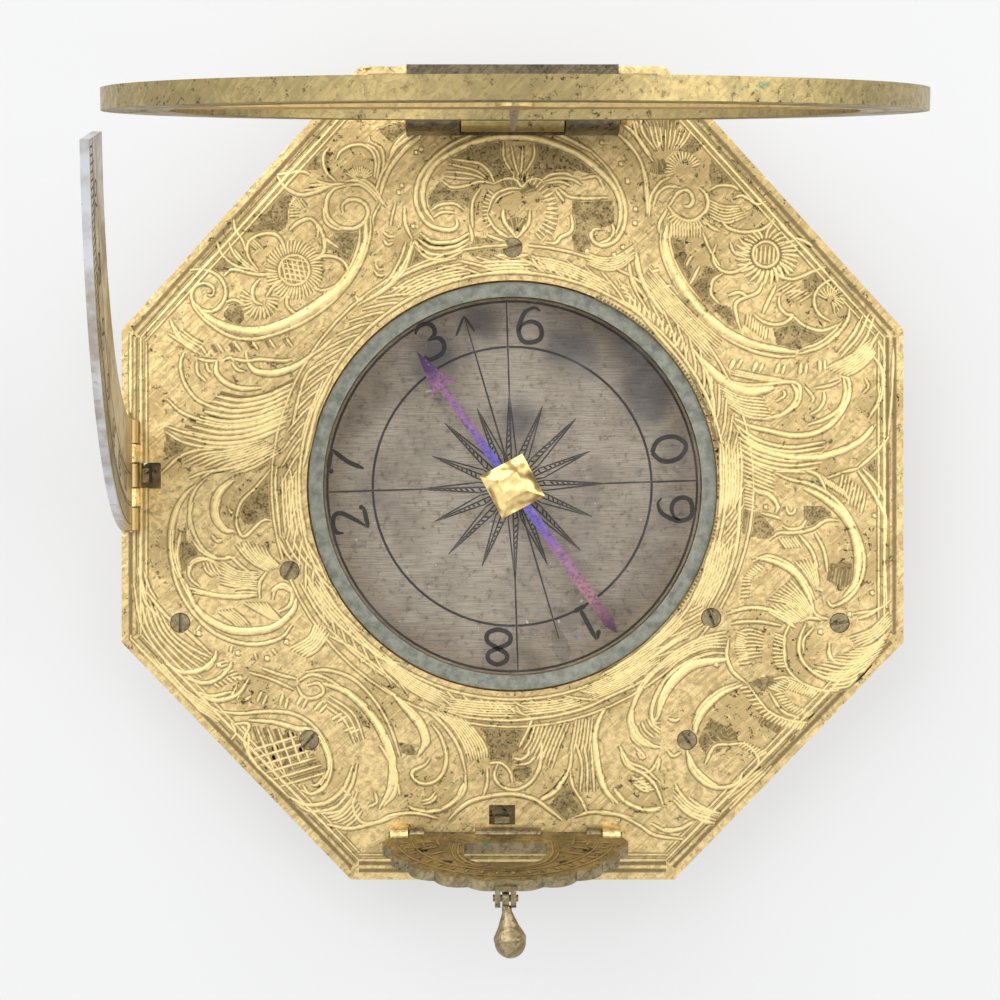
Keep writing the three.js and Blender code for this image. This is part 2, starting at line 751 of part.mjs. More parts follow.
// The plummet, hanging down from its eye: a slim neck that swells to a round bulb with a low ridge.
function plummet() {
  const neck = plummet_neck_radius;
  const bulb = plummet_bulb_radius;
  const round = bulb - plummet_ridge_proud;
  const shoulder = plummet_bulb_centre - bulb;
  const below = plummet_length - plummet_bulb_centre;
  const profile = [
    [0, -plummet_eye_radius],
    [neck, -plummet_eye_radius],
    [neck, -shoulder / 2],
    [bulb * plummet_shoulder_share, -shoulder],
    [round, -plummet_bulb_centre + bulb * plummet_ridge_shares[0]],
    [bulb, -plummet_bulb_centre + bulb * plummet_ridge_shares[1]],
  ];
  for (let i = 0; i <= plummet_bulb_steps; i += 1) {
    const angle = (Math.PI / 2) * (i / plummet_bulb_steps);
    profile.push([round * Math.cos(angle), -plummet_bulb_centre - below * Math.sin(angle)]);
  }
  const geometry = new THREE.LatheGeometry(
    [...profile, profile[0]].reverse().map(([r, z]) => new THREE.Vector2(r, z)),
    plain_facets,
  );
  geometry.rotateX(Math.PI / 2);
  geometry.rotateY(-radians(plummet_tilt));
  const half = plummet_eye_thickness / 2;
  const eye = rod_along_x(-half, half, 0, 0, plummet_eye_radius);
  const stub = block([-half, -half, -plummet_eye_radius - half], [half, half, 0]);
  const bore = rod_along_x(-fork_gap, fork_gap, 0, 0, plummet_pin_radius + screw_gap, small_facets);
  return solid(geometry).add(eye).add(stub).subtract(bore);
}

const sundial = new THREE.Group();

// What is fixed to the plate
sundial.add(piece("base_plate", base_plate(), gilt_brass));
sundial.add(piece("compass_bowl", compass_bowl(), yellow_brass));
const dial_radius = bowl_inner_radius - running_gap;
const dial = washer(pivot_radius + screw_gap, dial_radius, dial_under, dial_top);
sundial.add(piece("compass_dial", dial, tarnished_silver));
sundial.add(piece("needle_pivot", needle_pivot(), yellow_brass));
const glass_radius = compass_hole_radius - running_gap;
const glass = turned([
  [0, glass_under],
  [glass_radius, glass_under],
  [glass_radius, glass_top],
  [0, glass_top],
]);
sundial.add(piece("compass_glass", glass, clear_glass));
const bezel_under = glass_top + seat_gap;
const bezel = washer(glass_radius - bezel_width, glass_radius, bezel_under, bezel_under + bezel_thickness);
sundial.add(piece("glass_retaining_ring", bezel, pewter));
Object.entries(screw_places).forEach(([name, [x, y]], i) => {
  const low = name.startsWith("bowl") ? screw_tip : spring_under;
  sundial.add(piece(name, screw(x, y, low, screw_slot_turns[i]), dark_brass));
});
sundial.add(piece("bracket_spring", bracket_spring(), yellow_brass));
sundial.add(piece("arc_spring", arc_spring(), yellow_brass));
for (const [name, [x, y, along_x, height]] of Object.entries(strap_places)) {
  const pin_radius = along_x ? bracket_pin_radius : arc_pin_radius;
  sundial.add(piece(name, strap(x, y, along_x, height, pin_radius), gilt_brass));
}
sundial.add(piece("ring_hinge_block", ring_hinge_leaf_block(), dark_brass));
for (const [name, side] of [["ring_hinge_screw_west", -1], ["ring_hinge_screw_east", 1]]) {
  const x = (side * (ring_knuckle_half_length + running_gap + ring_hinge_half_length)) / 2;
  sundial.add(piece(name, hinge_screw(x), dark_brass));
}

// Hinge pins, which stay with the plate
const ring_axis_z = plate_top + ring_hinge_height;
const ring_pin_half = ring_hinge_half_length + pin_overrun;
const ring_pin = rod_along_x(-ring_pin_half, ring_pin_half, ring_hinge_y, ring_axis_z, ring_pin_radius)
  .add(
    rod_along_x(
      ring_pin_half - seat_gap,
      ring_pin_half + ring_pin_head_length,
      ring_hinge_y,
      ring_axis_z,
      ring_pin_head_radius,
    ),
  );
sundial.add(piece("ring_hinge_pin", ring_pin, yellow_brass));
const arc_axis_z = plate_top + arc_hinge_height;
const arc_foot_north = ring_hinge_y - arc_inner_radius;
const arc_foot_south = ring_hinge_y - arc_outer_radius;
const arc_pin = rod_along_y(
  arc_foot_south - pin_overrun,
  arc_foot_north + pin_overrun,
  arc_hinge_x,
  arc_axis_z,
  arc_pin_radius,
  small_facets,
);
sundial.add(piece("arc_hinge_pin", arc_pin, dark_brass));
const bracket_axis_z = plate_top + bracket_hinge_height;
const bracket_pin_half = bracket_strap_reach + strap_width / 2 + pin_overrun;
const bracket_pin = rod_along_x(
  bracket_x - bracket_pin_half,
  bracket_x + bracket_pin_half,
  bracket_hinge_y,
  bracket_axis_z,
  bracket_pin_radius,
  small_facets,
);
sundial.add(piece("bracket_hinge_pin", bracket_pin, dark_brass));

// The needle and its cap swing together
const compass_needle = piece("compass_needle", needle(), blued_steel);
compass_needle.rotation.z = radians(needle_turn);
sundial.add(compass_needle);
const cap = piece("needle_cap", needle_cap(), gilt_brass);
cap.rotation.z = radians(cap_turn);
sundial.add(cap);

// The hour ring, raised about its hinge, with the gnomon across it
const ring_group = new THREE.Group();
ring_group.position.set(0, ring_hinge_y, ring_axis_z);
ring_group.rotation.x = -radians(ring_raise);
ring_group.add(piece("hour_ring", hour_ring(), gilt_brass));
const gnomon_group = new THREE.Group();
gnomon_group.position.set(0, -ring_centre_reach, 0);
gnomon_group.rotation.x = -radians(gnomon_turn);
gnomon_group.add(piece("gnomon_bar", gnomon_bar(), yellow_brass));
gnomon_group.add(piece("gnomon_pin", gnomon_pin(), grey_steel));
ring_group.add(gnomon_group);
sundial.add(ring_group);

// The latitude arc, leaning in a little over its hinge
const arc_group = new THREE.Group();
arc_group.position.set(arc_hinge_x, 0, arc_axis_z);
arc_group.rotation.y = radians(arc_lean);
arc_group.add(piece("latitude_arc", latitude_arc(), bright_silver));
sundial.add(arc_group);

// The bracket, leaning out over the south edge, with the plummet in its fork
const bracket_group = new THREE.Group();
bracket_group.position.set(bracket_x, bracket_hinge_y, bracket_axis_z);
bracket_group.rotation.x = radians(bracket_lean);
bracket_group.add(piece("plummet_bracket", plummet_bracket(), dark_brass));
const plummet_group = new THREE.Group();
plummet_group.position.set(0, -fork_reach, fork_height);
plummet_group.rotation.x = -radians(bracket_lean) - Math.PI / 2;
const fork_pin_half = fork_gap / 2 + fork_ear_thickness + pin_overrun;
const fork_pin = rod_along_x(-fork_pin_half, fork_pin_half, 0, 0, plummet_pin_radius, small_facets);
plummet_group.add(piece("plummet", plummet(), dark_brass));
bracket_group.add(plummet_group);
const fork_pin_piece = piece("plummet_pin", fork_pin, dark_brass);
fork_pin_piece.position.set(0, -fork_reach, fork_height);
bracket_group.add(fork_pin_piece);
sundial.add(bracket_group);

export default sundial;
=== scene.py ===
import json
import math

import bpy
import numpy as np
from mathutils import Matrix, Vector


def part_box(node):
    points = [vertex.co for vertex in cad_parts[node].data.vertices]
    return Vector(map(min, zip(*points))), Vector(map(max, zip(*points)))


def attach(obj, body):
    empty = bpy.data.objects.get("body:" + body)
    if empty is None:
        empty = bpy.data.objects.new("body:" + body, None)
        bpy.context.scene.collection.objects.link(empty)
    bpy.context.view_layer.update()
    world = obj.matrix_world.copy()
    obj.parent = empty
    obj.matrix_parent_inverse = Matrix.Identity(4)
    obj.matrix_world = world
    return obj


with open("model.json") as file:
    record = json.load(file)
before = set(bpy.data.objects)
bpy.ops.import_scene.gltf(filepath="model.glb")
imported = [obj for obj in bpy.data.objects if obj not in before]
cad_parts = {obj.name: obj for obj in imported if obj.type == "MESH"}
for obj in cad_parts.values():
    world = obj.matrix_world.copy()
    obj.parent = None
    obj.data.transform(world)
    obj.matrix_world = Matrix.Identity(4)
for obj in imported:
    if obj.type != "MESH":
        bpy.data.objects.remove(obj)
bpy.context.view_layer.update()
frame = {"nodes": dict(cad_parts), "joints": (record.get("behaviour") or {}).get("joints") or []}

# The view: straight down on the plate from 190 mm above it, as the photograph was taken. The picture
# takes in 76.75 mm at the plate, which is 13.03 pixels a millimetre, and its middle lies a little
# west and south of the compass axis.
MM = 0.001
PX_PER_MM = 13.03
CENTRE_PX = (512.5, 486.0)
PICTURE_PX = 1000
plate_low, plate_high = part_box("base_plate")
TOP = plate_high[2]
EYE_HEIGHT = 190 * MM
picture_width = PICTURE_PX / PX_PER_MM * MM


def on_plate(x_px, y_px):
    """A pixel of the photograph as a place on the plate, in metres from the compass axis."""
    return (x_px - CENTRE_PX[0]) / PX_PER_MM * MM, (CENTRE_PX[1] - y_px) / PX_PER_MM * MM


camera_data = bpy.data.cameras.new("view")
camera_data.sensor_width = 36.0
camera_data.lens = camera_data.sensor_width * EYE_HEIGHT / picture_width
camera_data.clip_start = 0.005
camera_data.clip_end = 5
camera = bpy.data.objects.new("view", camera_data)
eye_x, eye_y = on_plate(PICTURE_PX / 2, PICTURE_PX / 2)
camera.location = (eye_x, eye_y, TOP + EYE_HEIGHT)
bpy.context.scene.collection.objects.link(camera)
bpy.context.scene.camera = camera
bpy.context.scene.view_settings.view_transform = "Standard"


# Shader maths: one wrapped socket, with the operators that the finishes use.
class Wire:
    def __init__(self, tree, socket):
        self.tree, self.socket = tree, socket

    def maths(self, operation, *values, clamp=False):
        node = self.tree.nodes.new("ShaderNodeMath")
        node.operation, node.use_clamp = operation, clamp
        for pin, value in zip(node.inputs, values):
            if isinstance(value, Wire):
                self.tree.links.new(value.socket, pin)
            else:
                pin.default_value = value
        return Wire(self.tree, node.outputs[0])

    def __add__(self, other):
        return self.maths("ADD", self, other)

    def __radd__(self, other):
        return self.maths("ADD", other, self)

    def __sub__(self, other):
        return self.maths("SUBTRACT", self, other)

    def __rsub__(self, other):
        return self.maths("SUBTRACT", other, self)

    def __mul__(self, other):
        return self.maths("MULTIPLY", self, other)

    def __rmul__(self, other):
        return self.maths("MULTIPLY", other, self)

    def clamped(self):
        return self.maths("ADD", self, 0.0, clamp=True)

    def above(self, low, high):
        """0 below low, 1 above high, and a smooth step between."""
        return self.node("ShaderNodeMapRange", {"interpolation_type": "SMOOTHSTEP"},
                         {"Value": self, "From Min": low, "From Max": high})

    def node(self, kind, settings=None, values=None, out=0):
        """Any node: settings are set first, then the values or links of its sockets."""
        made = self.tree.nodes.new(kind)
        for key, value in (settings or {}).items():
            if key == "stops":
                ramp = made.color_ramp
                while len(ramp.elements) < len(value):
                    ramp.elements.new(0.5)
                for element, (place, colour) in zip(ramp.elements, value):
                    element.position, element.color = place, (*colour, 1)
            else:
                setattr(made, key, value)
        for key, value in (values or {}).items():
            pin = made.inputs[key]
            if isinstance(value, Wire):
                self.tree.links.new(value.socket, pin)
            else:
                pin.default_value = value
        return Wire(self.tree, made.outputs[out])

    def blend(self, colour_a, colour_b):
        """This value as the share of colour_b over colour_a."""
        node = self.tree.nodes.new("ShaderNodeMix")
        node.data_type = "RGBA"
        colours = [s for s in node.inputs if s.type == "RGBA"]
        for pin, value in ((node.inputs[0], self), (colours[0], colour_a), (colours[1], colour_b)):
            if isinstance(value, Wire):
                self.tree.links.new(value.socket, pin)
            else:
                pin.default_value = (*value, 1) if isinstance(value, tuple) else value
        return Wire(self.tree, next(s for s in node.outputs if s.type == "RGBA"))

    def split(self):
        """The x, y and z of a vector."""
        node = self.tree.nodes.new("ShaderNodeSeparateXYZ")
        self.tree.links.new(self.socket, node.inputs[0])
        return [Wire(self.tree, s) for s in node.outputs]

    def noise(self, place, size_mm, detail, roughness):
        """Cloudy noise, 0 to 1, whose blobs are about size_mm across."""
        return self.node("ShaderNodeTexNoise", {}, {"Vector": place, "Scale": 1 / (size_mm * MM),
                                                    "Detail": detail, "Roughness": roughness})


class Finish:
    """A material on Object coordinates. Each finish fills in its own colour, roughness and bump."""

    def __init__(self, name, **fixed):
        self.material = bpy.data.materials.new(name)
        self.material.use_nodes = True
        tree = self.material.node_tree
        self.shader = tree.nodes["Principled BSDF"]
        coordinates = tree.nodes.new("ShaderNodeTexCoord")
        self.place = Wire(tree, coordinates.outputs["Object"])
        for key, value in fixed.items():
            self.shader.inputs[key.replace("_", " ")].default_value = value

    def set(self, name, value):
        pin = self.shader.inputs[name]
        if isinstance(value, Wire):
            value.tree.links.new(value.socket, pin)
        else:
            pin.default_value = (*value, 1) if isinstance(value, tuple) else value

    def bump(self, height, depth_mm):
        """Height 0 to 1 as relief of depth_mm."""
        normal = self.place.node("ShaderNodeBump", {}, {"Strength": 1.0, "Distance": depth_mm * MM,
                                                        "Height": height})
        self.set("Normal", normal)

    def dress(self, *names):
        """Gives CAD nodes this finish."""
        for name in names:
            node = frame["nodes"][name]
            node.data.materials.clear()
            node.data.materials.append(self.material)


# Brass and gilding. The gold is worn to duller brass in clouds, with a fine hammered grain, brown
# specks and a little green verdigris. Patches are places, in pixels of the photograph with a radius in
# millimetres, where the gilding has gone. An engraved finish is darkened by its tone in its cuts, with dirt
# and painted shade, and lightened on its ridges' crests with a painted highlight.
def gilt(name, wear=1.0, gold=(0.91, 0.68, 0.325), dull=(0.45, 0.33, 0.15), dark=(0.12, 0.095, 0.05),
         grain=0.03, patches=(), engraved=False, rough=0.30):
    made = Finish(name, Metallic=1.0)
    place = made.place
    clouds = place.noise(place, 6.5, 4, 0.6)
    fine = place.noise(place, 0.55, 5, 0.65)
    leaf = place.node("ShaderNodeTexNoise", {}, {"Vector": place, "Scale": 1 / (1.3 * MM), "Detail": 3.0,
                                                 "Roughness": 0.5, "Distortion": 2.2})
    spots = place.noise(place, 0.6, 5, 0.8)
    hatched = place.node("ShaderNodeMapping", {"vector_type": "TEXTURE"},
                         {"Vector": place, "Rotation": (0.0, 0.0, 0.75), "Scale": (18.0, 1.0, 4.0)})
    hatching = hatched.noise(hatched, 0.20, 3, 0.65)
    green = place.noise(place, 2.6, 3, 0.7)
    worn = clouds.above(0.42, 0.66) * (0.60 * wear)
    for x_px, y_px, reach_mm in patches:
        x, y = on_plate(x_px, y_px)
        away = place.node("ShaderNodeVectorMath", {"operation": "DISTANCE"},
                          {0: place, 1: (x, y, TOP)}, "Value")
        rim = away + (clouds - 0.5) * (1.6 * reach_mm * MM)
        worn = worn.maths("MAXIMUM", worn, (1 - rim.above(0.45 * reach_mm * MM, reach_mm * MM)) * 0.85)
    base = worn.blend(gold, dull)
    base = (leaf.above(0.48, 0.62) * (0.55 * wear)).blend(base, dull)
    base = (leaf.above(0.30, 0.42) * -0.5 + 0.5).clamped().blend(base, tuple(min(1, 1.12 * c) for c in gold))
    mottle = fine.above(0.42, 0.66) * (0.60 * wear)
    base = mottle.blend(base, dull)
    base = (hatching.above(0.52, 0.62) * clouds.above(0.36, 0.54) * (0.75 * wear)).blend(base, dull)
    base = ((1 - hatching.above(0.32, 0.44)) * 0.35).blend(base, tuple(min(1, 1.2 * c) for c in gold))
    spotted = spots.above(0.55, 0.63) * (0.45 + worn) * wear
    base = spotted.clamped().blend(base, dark)
    verdigris = green.above(0.60, 0.70) * spots.above(0.50, 0.60) * (0.7 * wear)
    base = verdigris.blend(base, (0.13, 0.24, 0.16))
    if engraved:
        tone = place.node("ShaderNodeAttribute", {"attribute_name": "tone"}, {}, "Fac")
        shade = tone + (fine - 0.5) * 0.6
        # A high tone, on a ridge's crest, lightens the gold: a painted highlight.
        crest_highlight = tuple(min(1.0, 1.22 * c) for c in gold)
        base = (shade.above(0.58, 0.95) * 0.85).blend(base, crest_highlight)
        # A low tone, in a cut, darkens the gold: dirt in the cut and painted shade of its walls.
        base = ((1 - shade.above(0.0, 0.48)) * 0.88).blend(base, tuple(0.42 * c for c in dull))
        cell = place.node("ShaderNodeTexVoronoi", {}, {"Vector": place, "Scale": 1 / (0.20 * MM)}, "Distance")
        sunk = tone.above(0.29, 0.295) * (1 - tone.above(0.305, 0.31))
        base = (sunk * (0.30 + leaf.above(0.35, 0.65) * 0.45)).blend(base, tuple(0.5 * c for c in dull))
        punched = sunk * (1 - cell.above(0.25, 0.60)) * spots.above(0.36, 0.56)
        base = (punched * 0.8).blend(base, tuple(0.6 * c for c in dark))
    made.set("Base Color", base)
    made.set("Roughness", (rough + fine * 0.16 + worn * 0.16 + spotted * 0.3).clamped())
    made.bump(leaf * 0.55 + fine * 0.25 + hatching * 0.2, grain)
    return made


WORN_PATCHES = ((775, 215, 4), (700, 300, 2.5), (640, 150, 3), (410, 250, 2.5), (880, 400, 2.5),
                (790, 650, 3), (150, 400, 2), (255, 690, 2.5), (430, 800, 3), (570, 800, 2.5),
                (830, 480, 2.5), (280, 470, 2.5), (505, 170, 5.5), (545, 150, 4), (690, 150, 4.5),
                (735, 180, 4), (830, 300, 4.5), (860, 560, 3.5), (345, 150, 3.5), (240, 240, 3),
                (505, 745, 4.5), (380, 700, 3), (740, 720, 4), (250, 500, 3), (600, 690, 3),
                (170, 560, 2.5), (320, 770, 2.5), (640, 800, 3), (700, 250, 3))
gilt_brass = gilt("gilt_brass", grain=0.06, patches=WORN_PATCHES)
gilt_brass.dress("base_plate")

gilt_straps = gilt("gilt_straps")
gilt_straps.dress("bracket_strap_west", "bracket_strap_east", "arc_strap_north", "arc_strap_south")

# The hour ring, thinly gilt: dull olive brass.
OLIVE = (1.0, (0.45, 0.345, 0.15), (0.28, 0.22, 0.105), (0.09, 0.07, 0.04))
olive_brass = gilt("olive_brass", *OLIVE)
olive_brass.dress("hour_ring")

# The needle's cap: a pyramid of thick gold foil, hammered into dents that shine.
hammered = gilt("hammered_gilt", 0.3, (0.95, 0.72, 0.30), (0.62, 0.44, 0.18), (0.30, 0.20, 0.09))
dents = hammered.place.noise(hammered.place, 1.5, 1, 0.4)
hammered.set("Roughness", 0.18)
hammered.bump(dents, 0.9)
hammered.dress("needle_cap")

# Plain brass, never gilt: the compass bowl, its pivot, the ring's hinge pin and the bar. Browned by age.
plain_brass = gilt("plain_brass", 0.8, (0.62, 0.45, 0.20), (0.38, 0.28, 0.13), (0.13, 0.10, 0.06))
plain_brass.dress("compass_bowl", "needle_pivot", "ring_hinge_pin", "gnomon_bar")

# Tarnished brass: the bracket, the plummet, the springs, the screws and the small pins.
DARK = (1.2, (0.36, 0.29, 0.165), (0.19, 0.15, 0.085), (0.05, 0.042, 0.028))
dark_brass = gilt("dark_brass", *DARK, grain=0.06, rough=0.36)
dark_brass.dress(*[name for name in frame["nodes"] if "screw" in name], "plummet_bracket", "plummet",
                 "plummet_pin", "arc_hinge_pin", "bracket_hinge_pin", "bracket_spring", "arc_spring")

# The ring's hinge: brass gone almost black, bright again where it rubs.
hinge_brown = gilt("hinge_brown", 1.3, (0.20, 0.16, 0.10), (0.10, 0.08, 0.055), (0.03, 0.025, 0.02))
hinge_brown.dress("ring_hinge_block")

# The silvered dial: brushed across, tarnished brown, with blue-black clouds towards the north-east and
# by the needle's head, and white dust. Its engraving is a piece of its own with the same finish.
DARK_CLOUDS = ((640, 330, 4.2), (575, 345, 3.2), (440, 352, 2.8), (478, 318, 2.2), (650, 390, 3.0),
               (520, 420, 2.4))


def tarnished(name, engraved=False):
    made = Finish(name, Metallic=0.75)
    place = made.place
    brushed = place.node("ShaderNodeMapping", {}, {"Vector": place, "Scale": (0.04, 1.0, 1.0)})
    brushing = brushed.noise(brushed, 0.09, 4, 0.7)
    clouds = place.noise(place, 4.0, 5, 0.65)
    fine = place.noise(place, 0.5, 4, 0.7)
    dust = place.noise(place, 0.55, 2, 0.5)
    cloudy = clouds.above(0.35, 0.75)
    shade = cloudy * 0.0
    for x_px, y_px, reach_mm in DARK_CLOUDS:
        x, y = on_plate(x_px, y_px)
        away = place.node("ShaderNodeVectorMath", {"operation": "DISTANCE"},
                          {0: place, 1: (x, y, dial_top)}, "Value")
        rim = away + (clouds - 0.5) * (2.2 * reach_mm * MM)
        shade = shade.maths("MAXIMUM", shade, 1 - rim.above(0.3 * reach_mm * MM, reach_mm * MM))
    base = cloudy.blend((0.38, 0.325, 0.25), (0.225, 0.185, 0.145))
    base = (brushing.above(0.38, 0.66) * 0.60).blend(base, (0.14, 0.12, 0.10))
    base = (shade * 0.62).blend(base, (0.05, 0.055, 0.07))
    base = (fine.above(0.54, 0.68) * 0.5).blend(base, (0.08, 0.068, 0.058))
    base = (dust.above(0.74, 0.78) * 0.6).blend(base, (0.62, 0.60, 0.58))
    if engraved:
        tone = place.node("ShaderNodeAttribute", {"attribute_name": "tone"}, {}, "Fac")
        base = ((1 - tone.above(0.1, 0.4)) * 0.95).blend(base, (0.030, 0.028, 0.028))
    made.set("Base Color", base)
    made.set("Roughness", (0.42 + brushing * 0.2 + shade * 0.1).clamped())
    made.bump(brushing * 0.6 + fine * 0.4, 0.012)
    return made


dial_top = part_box("compass_dial")[1][2]
tarnished("tarnished_silver").dress("compass_dial")

# The ring that holds the glass: pewter grey with a green cast, dirty in its corners.
pewter = Finish("pewter", Metallic=0.5, Roughness=0.55)
haze = pewter.place.noise(pewter.place, 0.8, 4, 0.7)
pewter.set("Base Color", haze.above(0.3, 0.75).blend((0.27, 0.275, 0.225), (0.12, 0.125, 0.10)))
pewter.bump(haze, 0.03)
pewter.dress("glass_retaining_ring")

# The glass: clear, with a faint haze of dust.
glass = Finish("clear_glass", Roughness=0.03, IOR=1.45, Specular_IOR_Level=0.12)
glass.set("Base Color", (1.0, 1.0, 1.0))
glass.set("Alpha", glass.place.noise(glass.place, 3.0, 4, 0.6).above(0.45, 0.95) * 0.05 + 0.005)
glass.material.blend_method = "BLEND"
glass.dress("compass_glass")

# The needle: steel heated to a blue that has gone purple along the shaft and pink at the tail.
NEEDLE_TIP_PX, NEEDLE_TAIL_PX = (415, 344), (618, 633)
tip, tail = np.array(on_plate(*NEEDLE_TIP_PX)), np.array(on_plate(*NEEDLE_TAIL_PX))
needle_way = (tail - tip) / np.hypot(*(tail - tip))
steel = Finish("blued_steel", Metallic=0.8, Roughness=0.38)
x, y, z = steel.place.split()
streaks = steel.place.noise(steel.place, 0.8, 4, 0.7)
along = (x * float(needle_way[0]) + y * float(needle_way[1])) * (1 / (28 * MM)) + 0.5 + (streaks - 0.5) * 0.10
bluing = along.node("ShaderNodeValToRGB", {"stops": ((0.0, (0.04, 0.02, 0.06)), (0.10, (0.08, 0.04, 0.12)),
                                                     (0.16, (0.30, 0.14, 0.25)), (0.28, (0.27, 0.14, 0.28)),
                                                     (0.40, (0.15, 0.12, 0.46)), (0.50, (0.12, 0.12, 0.50)),
                                                     (0.60, (0.16, 0.13, 0.48)), (0.72, (0.30, 0.15, 0.30)),
                                                     (0.86, (0.42, 0.21, 0.22)), (0.97, (0.12, 0.05, 0.09)))},
                    {"Fac": along})
pitted = steel.place.noise(steel.place, 0.25, 4, 0.8)
bluing = (pitted.above(0.48, 0.60) * 0.65).blend(bluing, (0.06, 0.04, 0.09))
steel.set("Base Color", (streaks.above(0.56, 0.72) * 0.5).blend(bluing, (0.46, 0.27, 0.26)))
steel.bump(streaks * 0.5 + pitted * 0.5, 0.03)
steel.dress("compass_needle")

grey = Finish("grey_steel", Metallic=1.0)
rust = grey.place.noise(grey.place, 0.9, 4, 0.7)
grey.set("Base Color", rust.above(0.45, 0.7).blend((0.34, 0.32, 0.29), (0.16, 0.11, 0.07)))
grey.set("Roughness", 0.32 + rust * 0.25)
grey.bump(rust, 0.03)
grey.dress("gnomon_pin")

# The latitude arc: silvered brass, pale, with brown tarnish and the brass showing at its foot.
bright = Finish("bright_silver", Metallic=1.0)
cloud = bright.place.noise(bright.place, 5.0, 4, 0.65)
scratch = bright.place.noise(bright.place, 0.6, 4, 0.7)
x, y, z = bright.place.split()
silvered = cloud.above(0.40, 0.66).blend((0.66, 0.67, 0.70), (0.38, 0.33, 0.26))
silvered = (scratch.above(0.58, 0.72) * 0.5).blend(silvered, (0.20, 0.16, 0.11))
bright.set("Base Color", (1 - z.above(8 * MM, 15 * MM)).blend(silvered, (0.50, 0.38, 0.18)))
bright.set("Roughness", 0.28 + scratch * 0.2 + cloud * 0.1)
bright.bump(scratch, 0.02)
bright.dress("latitude_arc")

# The plate's corners, edge lines and compass hole, taken from the CAD plate itself, in metres.
plate_points = np.array([v.co[:] for v in frame["nodes"]["base_plate"].data.vertices])
near = 0.05 * MM
north_half = np.abs(plate_points[plate_points[:, 1] > plate_high[1] - near, 0]).max()
south_half = np.abs(plate_points[plate_points[:, 1] < plate_low[1] + near, 0]).max()
side_half = np.abs(plate_points[plate_points[:, 0] > plate_high[0] - near, 1]).max()
HOLE = np.hypot(plate_points[:, 0], plate_points[:, 1]).min()
corners = np.array([(north_half, plate_high[1]), (-north_half, plate_high[1]), (plate_low[0], side_half),
                    (plate_low[0], -side_half), (-south_half, plate_low[1]), (south_half, plate_low[1]),
                    (plate_high[0], -side_half), (plate_high[0], side_half)])
edge_run = np.roll(corners, -1, axis=0) - corners
edge_out = np.stack([edge_run[:, 1], -edge_run[:, 0]], 1) / np.hypot(*edge_run.T)[:, None]
edge_reach = (edge_out * corners).sum(1)
EDGE_MARGIN, HOLE_MARGIN = 0.7 * MM, 0.2 * MM


def inside_plate(places):
    """Places, with those that stray off the plate moved back to a line inside its edges, or to a circle
    just outside the compass hole."""
    radius = np.maximum(np.hypot(places[:, 0], places[:, 1]), 1e-9)
    places = places * np.maximum(1, (HOLE + HOLE_MARGIN) / radius)[:, None]
    for out, reach in zip(edge_out, edge_reach):
        places = places - np.maximum(places @ out - reach + EDGE_MARGIN, 0)[:, None] * out
    return places


# The engraving of the plate. The real plate is cast or rolled brass, cut with a graver, punched with
# fine dots between the leaves and then fire gilt. It was traced on eight enlarged sheets of
# the photograph, each with the pixel where it starts and its enlargement; numbers in a tracing are
# places on its sheet. A stroke is "kind width x,y x,y ...", its width in hundredths of a millimetre.
cuts, grounds = [], []
sheet = [0.0, 0.0, 1.0]


def stroke(kind, width_mm, places):
    """One stroke: its kind, its width and its places, both in metres."""
    return kind, width_mm * MM, np.array(places, float)


def around(radius, degrees):
    """The place at a radius and an angle from +X."""
    return radius * np.array([math.cos(math.radians(degrees)), math.sin(math.radians(degrees))])


def plain(places):
    return places


def on_sheet(x0, y0, enlargement):
    sheet[:] = x0, y0, enlargement


def to_plate(points):
    """Sheet places to metres on the plate."""
    points = np.asarray(points, float)
    x, y = on_plate(sheet[0] + points[:, 0] / sheet[2], sheet[1] + points[:, 1] / sheet[2])
    return np.stack([x, y], 1)


def smooth(points, steps):
    """A curve through the given points: for each stretch the cubic whose slopes at its ends are half
    the way between the neighbouring points (Catmull-Rom), at the given number of steps in all."""
    points = np.asarray(points, float)
    if len(points) == 2:
        return points[0] + (points[1] - points[0]) * np.linspace(0, 1, steps)[:, None]
    ends = np.vstack([2 * points[0] - points[1], points, 2 * points[-1] - points[-2]])
    along = np.linspace(0, len(points) - 1.0001, steps)
    i = along.astype(int)
    t = (along - i)[:, None]
    a, b, c, d = ends[i], ends[i + 1], ends[i + 2], ends[i + 3]
    return 0.5 * (2 * b + (c - a) * t + (2 * a - 5 * b + 4 * c - d) * t ** 2
                  + (3 * b - a - 3 * c + d) * t ** 3)


def cut(kind, width, points):
    """Adds one stroke to the plate's, its width in hundredths of a millimetre, its points on the sheet."""
    cuts.append(stroke(kind, width * 0.01, to_plate(points)))


def trace(text):
    for line in text.strip().splitlines():
        kind, width, *places = line.split()
        points = [tuple(map(float, place.split(","))) for place in places]
        if kind == "ground":
            grounds.append(smooth(to_plate(points + points[:1]), 6 * len(points))[:-1])
        else:
            cut(kind, float(width), points)


def fan(kind, width, first, last, count):
    """Strokes shared out evenly between two guides of equally many points."""
    first, last = np.asarray(first, float), np.asarray(last, float)
    for share in np.linspace(0, 1, count):
        cut(kind, width, first + (last - first) * share)


def comb(kind, width, path, count, length, slant=90.0):
    """Short strokes along a path, each turned by slant degrees from it."""
    line = smooth(path, count + 1)
    step = np.diff(line, axis=0)
    turn = np.arctan2(step[:, 1], step[:, 0]) + math.radians(slant)
    tips = line[:-1] + length * np.stack([np.cos(turn), np.sin(turn)], 1)
    for a, b in zip(line[:-1], tips):
        cut(kind, width, [a, (a + b) / 2, b])


def rays(kind, width, centre, inner, outer, start, end, count, lean=0.0):
    """Strokes from a centre outwards between two radii, from one angle to another, in degrees."""
    for angle in np.radians(np.linspace(start, end, count)):
        places = [(centre[0] + r * math.cos(angle + lean * k), centre[1] + r * math.sin(angle + lean * k))
                  for k, r in enumerate(np.linspace(inner, outer, 3))]
        cut(kind, width, places)


